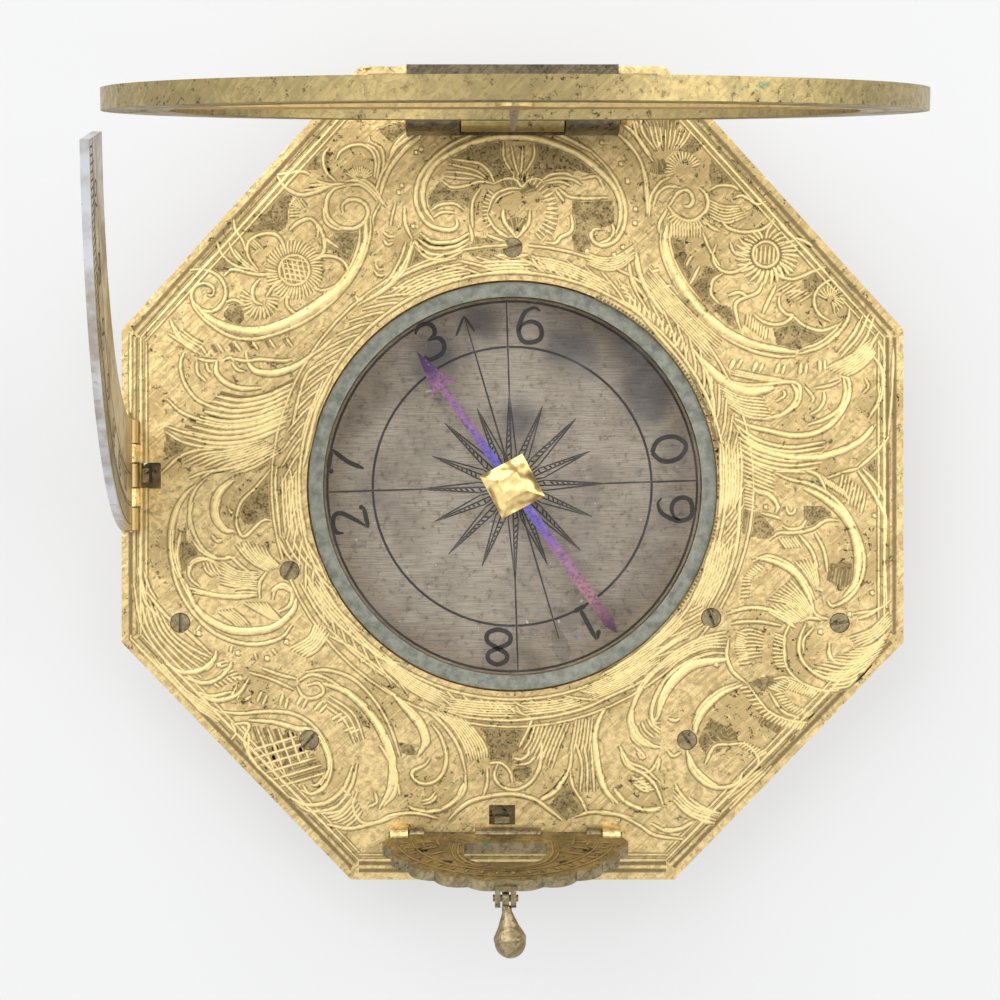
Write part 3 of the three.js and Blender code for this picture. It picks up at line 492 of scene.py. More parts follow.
def spiral(kind, width, centre, outer, inner, start, turns):
    """A volute whose radius falls evenly from outer to inner over the given turns."""
    t = np.linspace(0, 1, int(6 + 8 * abs(turns)))
    angle = math.radians(start) + 2 * math.pi * turns * t
    radius = outer + (inner - outer) * t
    cut(kind, width, np.stack([centre[0] + radius * np.cos(angle), centre[1] + radius * np.sin(angle)], 1))


def pellets(radius, *places):
    for x, y in places:
        spiral("band", radius * 1.6, (x, y), radius * 0.55, radius * 0.2, 0, 1)


# Sheet 1, the north-west corner: a flower in a long C-scroll, with a second bloom above it.
on_sheet(160, 110, 6.03)
trace("""
ground 0 960,112 1000,190 985,260 985,330 930,362 830,350 762,322 850,235
ground 0 700,410 722,470 800,510 775,590 765,690 720,735 600,738 540,735 478,680 560,560 640,480
ground 0 345,800 385,885 425,955 330,978 225,940 290,840
ground 0 1050,745 1200,700 1195,820 1150,950 1090,930 1040,860 1005,800
ground 0 430,1165 500,1150 505,1270 430,1285 385,1230
ground 0 1310,110 1480,95 1520,125 1440,200 1390,190
band 62 1240,660 1238,790 1190,930 1110,1050 1000,1150 860,1240 700,1310 560,1335 410,1310 290,1250 215,1170
line 16 1270,640 1266,760 1222,900 1140,1040 1020,1172 860,1282 700,1350 560,1382 420,1362 290,1280 \
208,1190 186,1120
line 13 1205,700 1200,800 1160,920 1090,1030 990,1120 880,1195 760,1260
line 16 180,965 265,962 345,995 392,1060 392,1135 340,1205 265,1212 205,1165 190,1110 215,1062 270,1045 \
322,1072 315,1118 285,1112
line 18 1120,455 1045,480 1005,550 1012,640 1080,705 1180,712 1245,655 1248,585 1200,545 1140,542 \
1100,575 1104,620
line 14 985,590 1000,670 1050,712 1110,720
line 16 1120,430 1190,425 1260,465 1320,530 1365,585
line 13 1150,452 1210,452 1265,490 1310,545
line 12 1180,415 1240,425 1300,478 1345,570
line 20 1568,165 1480,235 1400,330 1350,430 1330,512
line 13 1302,490 1330,400 1372,325
line 15 1382,298 1425,228 1500,168 1560,120
line 15 1062,300 1090,250 1150,216 1220,210 1278,248 1302,315 1292,405
line 12 1240,205 1300,240 1322,310 1306,420
line 12 1265,190 1335,235 1350,320 1330,400
line 14 1020,225 985,280 1000,370 1060,430
line 16 705,395 760,470 850,512 950,492 1040,452 1110,445
line 13 705,392 780,380 860,372 905,390
line 12 940,425 1000,445 1060,450
line 11 870,485 940,478 1020,455
line 11 900,455 960,452 1010,450
line 16 590,965 532,880 536,795 610,750 690,748 735,790 760,870
line 16 780,728 830,682 905,655 952,700 950,770
line 18 945,672 985,760 990,850 945,900
line 13 990,770 1030,800 1075,830
line 15 905,905 1000,880 1090,900 1135,975 1080,1050 985,1088 905,1062
line 14 770,1105 768,1180 835,1245
line 14 1000,1090 962,1165 905,1210 850,1215
line 16 685,995 570,990 440,960 385,1000
line 14 600,1020 560,1080 570,1150 620,1175
line 13 640,1130 680,1070 740,1020
line 15 410,780 450,872 522,942 600,982
line 12 442,832 500,905 575,962
line 14 342,792 382,882 470,945 562,962
line 12 445,660 455,720 500,790 520,860
line 13 400,1160 450,1145 520,1180
line 15 1475,590 1480,680 1515,770
line 15 1530,800 1490,900 1420,1015 1320,1100 1190,1178
line 22 1568,850 1530,800 1475,960 1380,1062 1250,1150
line 12 1350,738 1380,762 1412,762
line 12 1348,780 1372,812 1405,800
line 12 1300,930 1318,962 1350,958
line 12 1292,968 1320,1000 1352,992
line 12 1180,1125 1200,1150 1225,1135
line 14 62,1260 110,1370 190,1450
line 12 80,1290 140,1390 240,1470
""")
spiral("line", 12, (810, 965), 92, 90, 0, 1)
spiral("dark", 10, (810, 965), 102, 100, 0, 1)
for k in range(-2, 3):
    cut("line", 10, [(810 + k * 30 - 18, 895), (810 + k * 30 + 14, 1040)])
    cut("line", 10, [(740, 965 + k * 30 - 12), (885, 965 + k * 30 + 12)])
rays("line", 9, (810, 965), 104, 178, -165, 175, 44, 0.06)
rays("line", 8, (1200, 425), 25, 90, -150, -25, 13)
rays("line", 8, (600, 1145), 40, 120, -10, 200, 15, 0.08)
comb("line", 8, [(520, 780), (560, 760)], 3, 90, 70)
comb("line", 8, [(780, 640), (800, 560), (860, 530)], 9, 60, 75)
comb("dark", 7, [(985, 210), (1010, 400)], 8, 45, -20)
fan("line", 8, [(1330, 560), (1290, 640), (1285, 700)], [(1420, 560), (1400, 640), (1390, 700)], 2)
pellets(9, (1460, 455), (1440, 495), (1545, 255))

# Sheet 2, the north: a bell-shaped bloom on a dark ground, under an arched double line.
on_sheet(380, 110, 5.6)
trace("""
ground 0 700,178 690,260 720,330 760,380 700,375 640,385 590,330 520,285 420,270 480,225 580,190
ground 0 860,180 860,260 820,340 800,385 860,370 920,372 990,335 1090,340 1200,360 1180,320 1080,250 960,200
ground 0 330,400 400,440 480,425 550,430 520,500 512,560 440,520 340,530 290,560 270,500
ground 0 1080,500 1240,510 1300,510 1310,600 1300,640 1200,680 1180,760 1110,840 1080,740 1075,600
ground 0 530,710 640,720 690,760 690,810 560,830 500,800
ground 0 200,790 300,830 420,830 480,800 400,850 250,870 180,880
ground 0 0,110 100,70 170,90 160,150 60,160
band 40 300,620 255,560 238,480 255,390 310,300 400,235 520,180 650,152 770,148 900,165 1020,205 1130,260 \
1230,340 1310,430 1345,520 1345,620 1320,690
line 20 430,615 432,650 400,672 340,668 270,640 220,570 200,480 225,370 300,270 400,192 500,145 560,118
line 22 585,112 660,98 770,92
line 22 830,96 920,108 1010,140 1100,185 1185,232
line 18 1185,232 1270,320 1335,420 1372,530 1370,640 1330,720 1260,760 1200,740 1182,700 1200,670 1235,665
line 14 1300,640 1310,680 1280,728 1230,745
line 15 400,275 480,285 560,300 615,350 640,405
line 14 345,395 400,432 480,425 560,400 640,412
line 11 380,300 460,318 540,340 600,385
line 11 370,345 450,350 530,365 600,395
line 10 360,370 440,380 520,385
line 14 640,412 700,385 760,390 795,430 830,395 890,385 920,410
line 14 910,390 960,360 1040,355 1080,372
line 11 920,400 1000,380 1080,390 1130,420
line 11 930,410 1010,402 1070,425
line 14 1130,385 1215,372 1250,430
line 14 1000,440 1060,485 1150,495 1280,490
line 12 690,180 695,270 740,350
line 12 862,185 862,260 820,340
line 10 735,200 750,280 770,350
line 10 800,200 795,290 790,350
line 14 560,440 520,510 515,600 520,660
line 13 600,575 640,480 720,440 795,440
line 11 640,520 680,480 750,455
line 22 690,555 695,620 760,712
line 12 840,560 830,640 770,712
line 10 720,640 740,680 760,712
line 10 810,640 795,690 770,712
line 14 985,450 1030,510
line 14 1070,590 1080,650 1060,690 1010,715 985,745 930,742
line 14 600,590 640,660 720,715
line 10 620,640 670,690 720,715
line 12 600,700 650,720 700,735
line 12 290,560 340,530 420,525 470,560
line 10 300,600 350,572 420,575
line 14 135,590 145,650 180,720
line 22 180,730 160,810 110,900 40,1000
line 14 145,740 120,820 70,920 20,985
line 16 225,690 300,740 420,735 500,690
line 16 210,720 290,772 420,765 500,720
line 16 195,740 280,805 400,800 495,750
line 14 190,760 270,830 380,830 480,780
line 13 500,640 515,700 515,740
line 22 660,812 740,822 830,812
line 16 20,1000 140,920 290,860 430,830
line 14 1290,95 1380,180 1450,270 1490,380 1500,500 1495,600
line 14 1350,70 1440,150 1520,260
line 12 1420,75 1450,170 1530,290
line 12 1460,20 1470,120 1540,220
line 22 1440,820 1450,900 1480,980 1520,1060
line 16 1395,860 1410,950 1440,1030
line 14 1568,400 1520,480 1505,600
line 20 1568,180 1558,210
line 14 0,470 40,360 110,250 200,160 255,125
line 13 50,270 90,190 160,120
line 12 45,290 0,380
""")
rays("line", 8, (765, 560), 165, 215, -95, 50, 20)
rays("line", 9, (765, 580), 180, 235, -30, 30, 9)
rays("line", 8, (760, 560), 150, 190, 150, 215, 10)
rays("dark", 7, (765, 480), 30, 120, -150, -30, 15, 0.1)
rays("dark", 6, (765, 700), 20, 100, -140, -40, 11)
fan("line", 14, [(560, 855), (700, 850), (840, 850)], [(600, 915), (720, 905), (850, 905)], 4)
fan("line", 11, [(840, 820), (1000, 850), (1160, 910), (1320, 990)],
    [(860, 870), (1000, 905), (1150, 965), (1290, 1040)], 5)
fan("line", 11, [(460, 860), (320, 895), (180, 950), (60, 1020)],
    [(520, 930), (380, 955), (250, 1000), (150, 1050)], 5)
fan("line", 10, [(1150, 800), (1240, 830), (1330, 820), (1420, 760)],
    [(1160, 860), (1260, 895), (1350, 880), (1430, 820)], 6)
comb("line", 11, [(850, 830), (1060, 890)], 6, 80, 40)
comb("line", 10, [(1340, 970), (1380, 1060)], 4, 50, -40)
pellets(11, (232, 218), (123, 422), (106, 460), (1192, 125), (1243, 180), (1350, 300), (1388, 395),
        (1432, 555),
        (1428, 632), (1360, 768), (1312, 810), (1160, 790), (185, 650))

# Sheet 3, the north-east corner: a flower with long petals in a C-scroll.
on_sheet(620, 100, 6.03)
trace("""
ground 0 560,330 640,330 720,400 800,500 860,600 780,590 710,560 640,510 560,520 540,430
ground 0 310,830 380,850 400,930 430,1000 480,1060 520,1000 600,1060 560,1130 560,1220 640,1240 700,1280 \
700,1380 560,1260 430,1120 340,960
ground 0 1100,1060 1200,1010 1270,1080 1190,1150 1120,1150
ground 0 920,1370 1030,1310 1120,1360 1200,1400 1200,1480 1080,1500 960,1490
ground 0 330,240 420,230 500,270 440,330 380,340
ground 0 1120,1370 1250,1400 1210,1480 1130,1490
band 62 285,760 272,870 310,1000 380,1130 480,1260 610,1380 760,1460 920,1500 1060,1520
line 15 250,740 248,880 290,1020 370,1160 480,1300 620,1420 780,1505 940,1545 1060,1545
line 12 305,760 300,860 335,980 400,1100 480,1200
line 20 1080,1530 1200,1490 1300,1420 1370,1330 1385,1250
line 16 1100,1500 1200,1465 1290,1395 1335,1340
line 14 285,660 240,740 235,800
line 18 295,640 350,560 410,545 440,600 420,640 385,640
line 15 175,700 180,600 240,500 300,465
line 15 200,640 230,560 290,520 370,530
line 20 290,640 340,700 420,730 490,700 530,640 520,570 480,530
line 14 505,720 540,760 600,790
line 14 545,540 600,515 680,520 715,545
line 14 680,595 730,575 780,600 830,630 880,610
line 16 945,695 900,750 840,785 740,795 650,770 610,720
line 13 665,860 690,920 760,950
line 16 580,870 560,950 600,1020 680,1040 760,1000 790,960
line 15 620,1045 560,1090 550,1170 600,1230
line 16 860,1100 830,1160 760,1190 700,1225 700,1300 725,1380
line 15 650,1180 720,1160 770,1190
line 15 925,1010 960,1060 1030,1080 1080,1070 1150,1040 1240,1005
line 15 960,1180 960,1240 1000,1290 1040,1300 1000,1340 930,1355 860,1335 805,1290
line 15 1030,1290 1110,1360 1220,1390 1340,1345
line 16 1290,1070 1200,1130 1170,1210 1200,1290 1270,1335
line 13 1110,1160 1060,1150 1000,1160
line 13 1040,830 1110,850 1160,880
line 15 940,710 1000,790 1080,860
line 13 880,840 890,790 940,720
line 15 860,1290 900,1200 940,1120
line 14 500,800 540,900 600,1000
line 13 480,1000 440,1080 420,1110
line 13 400,1000 420,960 440,940
line 26 100,920 110,1020 170,1160 260,1290
line 15 55,1000 80,1090 150,1190
line 14 0,210 60,270 120,360 150,480 160,600 165,700
line 13 0,130 80,200 140,280 190,360
line 12 5,560 35,680 20,790
line 16 0,1200 110,1280 250,1440 360,1568
line 14 1500,1290 1440,1420 1330,1550
line 14 1530,1310 1480,1440 1380,1568
line 14 1560,1400 1500,1500 1460,1568
line 13 1470,1290 1400,1420 1310,1530
""")
spiral("line", 14, (878, 930), 78, 76, 0, 1)
spiral("dark", 12, (878, 930), 88, 86, 0, 1)
for k in range(-2, 3):
    cut("line", 9, [(878 + k * 26, 880), (878 + k * 26 - 8, 990)])
rays("line", 15, (878, 930), 96, 185, 30, 200, 14, 0.10)
rays("line", 13, (878, 930), 96, 200, -30, 28, 7, 0.04)
rays("line", 12, (878, 930), 92, 160, -170, -100, 7, -0.08)
rays("line", 13, (878, 930), 95, 170, -80, -40, 4, 0.12)
rays("line", 10, (420, 640), 95, 150, 40, 150, 13)
rays("dark", 8, (240, 340), 20, 110, 60, 120, 9)
rays("line", 9, (380, 420), 60, 110, -200, -20, 16)
rays("line", 8, (1270, 1200), 15, 90, -170, 60, 14, 0.12)
fan("line", 9, [(530, 600), (620, 640), (720, 640)], [(540, 700), (640, 740), (760, 700)], 6)
fan("dark", 8, [(110, 120), (160, 200), (200, 290)], [(350, 110), (320, 200), (290, 280)], 11)
fan("line", 9, [(180, 160), (200, 240), (230, 300)], [(430, 180), (400, 240), (350, 300)], 9)
fan("line", 9, [(180, 1000), (330, 1180), (500, 1350), (620, 1450)],
    [(130, 1090), (280, 1270), (430, 1440), (540, 1568)], 9)
comb("line", 9, [(770, 1290), (900, 1390)], 8, 70, 60)
comb("line", 9, [(310, 740), (500, 740)], 11, 90, 90)
comb("line", 8, [(950, 1150), (1100, 1230)], 7, 90, -60)
comb("line", 14, [(190, 1040), (300, 1200), (420, 1370), (560, 1500)], 5, 50, -75)
comb("line", 14, [(60, 1180), (260, 1330), (430, 1500)], 14, 60, 55)
pellets(11, (46, 492), (96, 657), (92, 742))

# Sheet 4, the west side: long leaves that sweep from the compass to the edge, and a C-scroll below.
on_sheet(110, 330, 5.81)
trace("""
ground 0 960,780 972,900 965,1060 900,1110 820,1130 770,1110 750,1060 765,1000 830,930 900,850
ground 0 440,1120 450,1230 510,1270 490,1350 410,1370 400,1280 415,1190
ground 0 330,590 400,620 440,680 350,740 315,700
ground 0 840,770 960,740 900,800 830,830
band 46 720,870 650,930 610,1010 620,1100 670,1160 720,1170
line 16 715,860 630,930 595,1010 605,1100 660,1172
line 22 700,1168 640,1130 620,1060 640,980
line 14 690,1040 705,1060 712,1055
line 15 590,1190 620,1225 652,1220
line 15 560,860 500,920 465,1010 470,1120 500,1210 560,1290 640,1330 720,1320
line 18 500,900 430,960 385,1060 365,1160 365,1280 400,1400 440,1480
line 26 470,920 400,1010 360,1120 350,1240 365,1360 400,1440
line 14 480,1000 460,1080 465,1160
line 15 970,790 960,880 970,1010 990,1200
line 15 940,1105 880,1110 780,1200 735,1130 740,1060 770,990 850,910 950,790
line 15 430,130 410,200 430,300 500,400 600,450 650,460
line 14 505,180 510,250 560,300
line 14 560,190 570,230 590,245
band 30 620,180 620,250 680,310 770,340 880,335
line 13 710,190 740,230 780,240
band 40 800,190 850,240 960,250 1080,210 1180,140
line 12 660,175 700,160 720,180
line 15 1180,140 1240,100 1290,50
line 14 510,165 570,180 620,178
line 16 710,165 790,180 870,170 1000,180 1060,170
line 14 790,130 800,190
line 14 330,400 420,480 560,530 720,550 880,520 1050,440
line 14 330,560 450,600 600,630 760,620 900,570 1050,500
line 15 320,590 420,650 560,680 720,680 850,650
line 16 300,830 400,740 500,700 620,690
line 13 460,860 540,830 640,810 760,790 900,710 1000,620
line 13 530,860 600,820 700,805
line 22 410,1180 390,1300 410,1400
line 14 460,1360 500,1330 570,1330 640,1380
line 13 455,1370 465,1440 520,1490
line 15 770,1230 800,1300 860,1360 930,1400
line 14 630,1340 700,1320 760,1370 850,1440
line 24 460,1500 600,1540 720,1550 860,1540
line 13 1040,790 1060,900 1050,1100 1060,1200
line 14 940,1520 960,1500 1010,1495 1050,1520
line 14 1180,1380 1250,1470 1330,1550
line 14 1130,1400 1190,1500 1260,1568
line 14 110,30 110,480
line 14 165,1380 190,1480 210,1560
line 12 195,1400 230,1500 270,1568
line 18 1290,270 1200,470 1160,640 1120,800
line 12 1240,290 1160,480 1110,640
line 14 1250,180 1150,250 1100,380 1060,560
""")
fan("line", 22, [(620, 385), (760, 410), (920, 380), (1060, 310)],
    [(430, 620), (620, 660), (820, 640), (1020, 560)], 9)
fan("dark", 9, [(640, 365), (780, 395), (930, 365), (1070, 290)],
    [(400, 590), (600, 645), (820, 625), (1020, 545)], 8)
fan("line", 13, [(430, 770), (540, 720), (700, 700), (880, 640)],
    [(740, 830), (830, 800), (900, 760), (1000, 700)], 9)
fan("line", 14, [(1000, 850), (1005, 1000), (1020, 1180)], [(1100, 830), (1105, 1010), (1140, 1200)], 6)
fan("line", 13, [(980, 1210), (1020, 1290), (1060, 1340)], [(1140, 1220), (1200, 1330), (1290, 1440)], 5)
fan("line", 11, [(780, 1230), (840, 1310), (940, 1370)], [(900, 1260), (930, 1320), (985, 1370)], 6)
fan("line", 11, [(640, 1340), (740, 1400), (860, 1410)], [(640, 1470), (740, 1490), (870, 1500)], 8)
fan("line", 9, [(540, 1350), (560, 1400), (600, 1430)], [(600, 1340), (625, 1390), (650, 1420)], 4)
fan("line", 12, [(340, 20), (430, 80), (500, 130)], [(420, 0), (480, 50), (540, 80)], 4)
comb("line", 12, [(560, 140), (1160, 90)], 6, 60, -120)
comb("dark", 8, [(620, 130), (1140, 80)], 5, 50, -115)

# Sheet 5, the east side: leaves, a scroll and a large fan of shell.
on_sheet(690, 340, 5.6)
trace("""
ground 0 960,700 1110,560 1115,900 1060,830 1010,740
ground 0 300,950 400,970 430,1010 470,1060 440,1110 340,1100 280,1060
ground 0 640,930 740,930 800,1000 760,1030 690,1060 640,1020
ground 0 780,1250 900,1250 910,1350 840,1390 780,1340
ground 0 690,0 740,40 700,70 650,60
band 66 60,100 130,180 220,250 320,290 410,280 470,265
line 18 60,130 170,210 290,250 420,250 540,235 600,245 618,290 600,360 530,410 460,440
line 22 570,245 600,300 580,360 510,420 420,440
band 30 250,440 330,480 450,510 580,535 700,520 800,460 880,340 890,230 850,205
line 18 860,215 870,290 840,380 760,440 660,475
line 14 700,270 780,255 840,230
line 13 640,260 690,320 680,350
line 15 750,290 750,340 720,390 670,420
line 13 520,280 530,310 480,345
line 12 980,215 1000,260 965,300
line 18 1020,80 1070,160 1080,260 1060,350 1000,435
line 16 1040,470 990,540 900,600 780,650 640,670 500,650 380,600 300,540 240,450
band 44 1025,480 960,560 850,620 720,655 560,655 420,620 300,560
line 15 1000,440 1050,350 1070,260
line 13 940,720 860,740 760,775
line 15 1115,540 1040,630 940,720
line 22 480,745 560,780 680,810 800,880 890,990 950,1120 975,1240 950,1360 880,1450 800,1490 770,1460
band 56 640,830 740,880 840,960 910,1060 940,1180 940,1280 920,1370 860,1440
line 22 650,730 720,760 760,840
line 18 480,735 560,735 650,740
line 16 300,780 380,850 440,870 490,930 480,970
line 22 380,840 450,870 500,940
line 14 400,970 480,990 500,1000
line 13 540,930 550,970 580,970 590,940
line 15 520,1040 560,1060 620,1050 650,1010
line 15 440,1120 500,1080 580,1080 680,1060 760,1010 830,1010
line 14 610,1090 680,1180 715,1280
line 14 700,1080 750,1180 770,1300
band 34 370,1220 470,1240 580,1300 650,1400 690,1500
line 16 350,1240 440,1210 560,1260 650,1360 700,1460
line 18 230,1515 350,1500 460,1515 560,1545
line 15 280,560 290,700 280,900 260,1150 200,1350 130,1490
line 18 1060,1500 1000,1540 940,1560
line 22 940,730 1010,830 1070,940 1100,1000
line 16 965,720 1040,800 1090,890
line 15 1100,1000 1090,1200 1100,1500
line 14 0,30 50,100 100,200 130,340 140,480
line 13 1050,0 1080,60 1090,110
line 12 1140,40 1130,300 1110,540
""")
fan("line", 18, [(250, 470), (380, 560), (560, 600), (760, 570)],
    [(280, 640), (400, 700), (560, 730), (720, 715)], 6)
fan("dark", 9, [(255, 490), (390, 580), (560, 620), (740, 590)],
    [(285, 620), (400, 690), (560, 715), (700, 700)], 5)
fan("line", 13, [(150, 230), (260, 290), (400, 310)], [(220, 370), (330, 430), (460, 445)], 8)
fan("line", 13, [(285, 650), (400, 710), (470, 735)], [(300, 780), (400, 820), (470, 850)], 6)
fan("line", 11, [(230, 190), (420, 225), (560, 225)], [(250, 170), (380, 200), (480, 215)], 3)
fan("line", 17, [(760, 160), (900, 90), (1010, 0)], [(880, 200), (960, 150), (1040, 70)], 7)
fan("line", 13, [(170, 560), (170, 800), (155, 980)], [(265, 580), (270, 800), (250, 950)], 7)
fan("line", 13, [(120, 1130), (70, 1330), (0, 1480)], [(240, 1110), (190, 1310), (100, 1500)], 8)
fan("line", 11, [(440, 1450), (560, 1480), (660, 1568)], [(560, 1340), (640, 1440), (690, 1540)], 8)
fan("line", 10, [(590, 1240), (650, 1310), (690, 1390)], [(690, 1220), (710, 1300), (720, 1380)], 6)
comb("line", 11, [(860, 740), (1000, 870)], 8, 120, 60)
comb("line", 10, [(750, 800), (900, 900)], 10, 60, -150)
comb("line", 9, [(370, 1250), (300, 1330), (280, 1460)], 12, 50, -100)
comb("line", 9, [(500, 1110), (600, 1100)], 6, 70, 60)
comb("dark", 8, [(790, 1260), (900, 1300)], 7, 90, 80)
comb("line", 10, [(300, 790), (310, 960)], 9, 60, -70)
comb("line", 20, [(250, 110), (460, 130), (660, 130), (820, 80)], 5, 60, 110)
comb("line", 14, [(290, 110), (490, 140), (690, 130), (840, 80)], 5, 55, 110)
comb("dark", 9, [(20, 200), (90, 360), (130, 480), (150, 700), (150, 860)], 42, 24, 150)
pellets(11, (920, 832), (1033, 982), (1020, 1415), (425, 935))

# Sheet 6, the south-west corner: two C-scrolls, crescents and a panel of lattice.
on_sheet(110, 540, 4.61)
trace("""
ground 0 330,10 380,20 400,70 360,130 320,140 322,80
ground 0 1070,740 1150,790 1190,860 1130,840 1080,800
band 44 350,200 390,300 460,370 560,415 660,420 760,400 840,330 860,270
line 18 285,0 285,110 320,230 380,330 470,420 580,470 690,480 790,450 840,390
line 14 305,0 305,110 345,220 400,310 490,390
line 16 380,240 460,250 560,265 660,260
line 14 360,170 380,110 440,90 510,110
line 20 750,275 760,230 800,205 840,240 830,300 780,330
line 14 720,150 690,200 690,270
line 15 380,0 420,50 490,85 580,80
line 16 500,790 600,800 720,790 840,800 930,850 990,930 1020,1030 1000,1120 930,1170 880,1150
band 30 640,830 760,840 860,870 930,880 990,950 1010,1050 970,1130
line 15 890,1130 920,1170 980,1150 1020,1090
line 14 930,1130 960,1125 990,1080
line 22 830,1185 900,1220 1000,1210 1080,1140 1120,1040
line 16 850,1210 930,1250 1040,1230 1110,1140 1140,1030
line 14 960,1260 1060,1250 1120,1180
line 15 560,850 640,850 620,930 660,1020 760,1120 830,1190
line 14 600,850 640,900 640,980 700,1060
line 15 560,840 580,890 560,920
line 15 870,650 930,620 1000,640 1080,690
line 16 860,670 890,720 940,730 985,700 960,660 910,670
band 48 980,660 1090,700 1190,790 1260,900 1300,1020 1290,1150 1240,1240
line 15 900,610 1000,600 1120,640 1220,740 1290,860 1337,1000
line 15 1140,1160 1120,1230 1160,1300 1240,1300 1320,1270
line 14 1190,1230 1230,1210 1220,1160
line 18 1000,1310 1100,1330 1200,1310 1330,1270
line 22 260,570 330,610 420,600 480,550 490,510
band 22 380,600 450,590 490,540
line 20 340,630 430,660 500,640 550,590 560,560
line 22 420,720 500,740 590,710 640,640
line 14 400,700 470,720 560,700
line 16 80,440 190,560 320,690 460,800
line 18 170,240 260,350 350,420 470,530
line 16 150,180 160,280 240,370
line 13 700,590 780,620 860,640
line 12 640,610 740,640 850,690
line 15 620,740 650,720
line 14 880,200 950,320 1010,400
line 18 920,180 1000,330 1110,440 1250,540 1337,610
line 15 1010,440 1120,500 1250,600 1337,680
line 14 1000,400 1150,540 1300,650
line 15 1060,1140 1110,1180
line 14 1290,990 1320,1100 1337,1180
""")
fan("dark", 9, [(660, 860), (760, 1110)], [(860, 880), (900, 1010)], 5)
fan("dark", 9, [(630, 960), (860, 890)], [(760, 1130), (1000, 1060)], 6)
fan("line", 11, [(675, 860), (775, 1110)], [(875, 880), (915, 1010)], 5)
fan("line", 11, [(635, 975), (865, 905)], [(770, 1140), (1005, 1070)], 6)
fan("line", 12, [(110, 200), (150, 400), (260, 560), (400, 700)],
    [(230, 330), (290, 430), (380, 500), (460, 540)], 6)
fan("line", 12, [(240, 570), (360, 700), (520, 800)], [(120, 480), (280, 690), (500, 840)], 5)
fan("line", 12, [(580, 20), (640, 90), (720, 140)], [(700, 60), (740, 100), (790, 125)], 7)
fan("line", 10, [(560, 180), (620, 170), (690, 180)], [(580, 245), (630, 240), (690, 245)], 5)
fan("line", 12, [(620, 290), (690, 330), (760, 370)], [(720, 290), (750, 330), (790, 370)], 7)
fan("line", 11, [(500, 330), (560, 370), (590, 400)], [(560, 320), (600, 350), (640, 390)], 5)
fan("line", 15, [(830, 500), (920, 450), (950, 380)], [(900, 540), (960, 500), (1010, 430)], 6)
fan("line", 13, [(900, 200), (960, 300), (1040, 400)], [(960, 190), (1040, 310), (1150, 420)], 5)
fan("line", 13, [(1080, 380), (1200, 500), (1337, 600)], [(1160, 470), (1240, 540), (1337, 570)], 6)
fan("line", 11, [(990, 760), (1080, 830), (1130, 940)], [(1010, 720), (1120, 800), (1170, 920)], 3)
fan("line", 12, [(1000, 1280), (1060, 1260), (1130, 1180)], [(1090, 1320), (1130, 1290), (1160, 1250)], 5)
comb("line", 15, [(560, 720), (760, 760), (900, 770), (1040, 840), (1120, 940)], 7, 55, -75)
comb("line", 12, [(585, 735), (785, 775), (925, 780), (1065, 850), (1145, 950)], 7, 50, -75)
comb("line", 10, [(400, 420), (600, 540), (740, 540), (840, 470)], 4, 30, -90)
comb("line", 9, [(530, 560), (620, 640)], 6, 40, 120)
comb("line", 12, [(480, 660), (580, 620)], 5, 30, 60)
pellets(12, (590, 520), (725, 545), (815, 470), (410, 430), (600, 635), (505, 575))

# Sheet 7, the south: leaves under the compass and the smooth arched panel of the bracket's foot.
on_sheet(380, 640, 5.6)
trace("""
ground 0 530,440 700,455 870,450 850,520 790,610 740,640 745,700 640,690 600,600 580,520
ground 0 940,940 1050,800 1080,880 1150,965 1020,1000
ground 0 90,570 180,590 200,640 140,640 100,610
ground 0 735,720 840,710 830,770 750,790
band 40 60,290 150,390 230,490 250,580 210,650
line 16 0,250 120,340 230,450 270,560 240,620
line 18 280,660 250,700 190,730 180,760 220,800 290,800 350,750 372,650 340,540 290,470
line 15 250,380 360,480 440,600 480,740
line 18 480,750 470,850 400,920 300,960 200,950 160,930
line 26 470,800 430,890 340,950 240,965
line 14 600,720 600,800 580,870
line 18 660,690 640,760 680,820 760,840 840,800 890,720 905,620 900,540
line 14 610,690 680,690 730,740 740,800
line 14 780,600 830,500 850,450
line 18 750,660 790,670 830,640 830,610
line 13 760,700 830,690 870,650
line 14 1075,600 1060,720 1000,820 900,900
line 26 1040,760 980,850 880,905
line 18 1270,370 1210,480 1200,600 1230,760 1300,900
band 34 1255,380 1205,520 1215,680 1250,820 1310,910
line 16 1060,710 1080,820 1130,900 1160,970
line 20 1420,340 1410,450 1450,530 1520,590 1568,600
line 22 1400,400 1400,480 1440,560 1520,600
line 16 1340,590 1390,680 1480,720 1568,800
line 26 1310,840 1380,910 1480,950 1568,950
line 16 1570,360 1560,420 1530,470 1568,500
line 14 1430,600 1470,640 1480,660
line 14 1420,770 1460,800 1500,820
line 13 1425,810 1470,840 1510,850
line 22 0,590 60,680 90,760 80,860 20,930
line 15 0,470 60,600 90,700
line 13 230,900 280,890 310,850
line 12 240,920 290,905 320,870
line 16 380,400 480,430 600,445 740,450 860,440 1000,420 1150,380 1300,310 1450,240 1568,160
line 22 385,1008 440,950 520,900 640,870 760,865 870,895 960,960 1020,1008
line 16 1090,990 1180,965 1300,970 1420,1000
line 16 0,1008 80,980 200,970 330,1000
""")
fan("line", 14, [(300, 390), (400, 480), (470, 590), (500, 680)],
    [(470, 440), (540, 520), (590, 600), (600, 660)], 8)
fan("line", 10, [(870, 470), (840, 560), (800, 620)], [(1060, 460), (1000, 600), (960, 720)], 9)
fan("line", 9, [(1100, 440), (1080, 560), (1060, 640)], [(1190, 440), (1180, 540), (1170, 620)], 6)
fan("line", 13, [(0, 130), (160, 270), (340, 370)], [(0, 60), (180, 210), (380, 310)], 7)
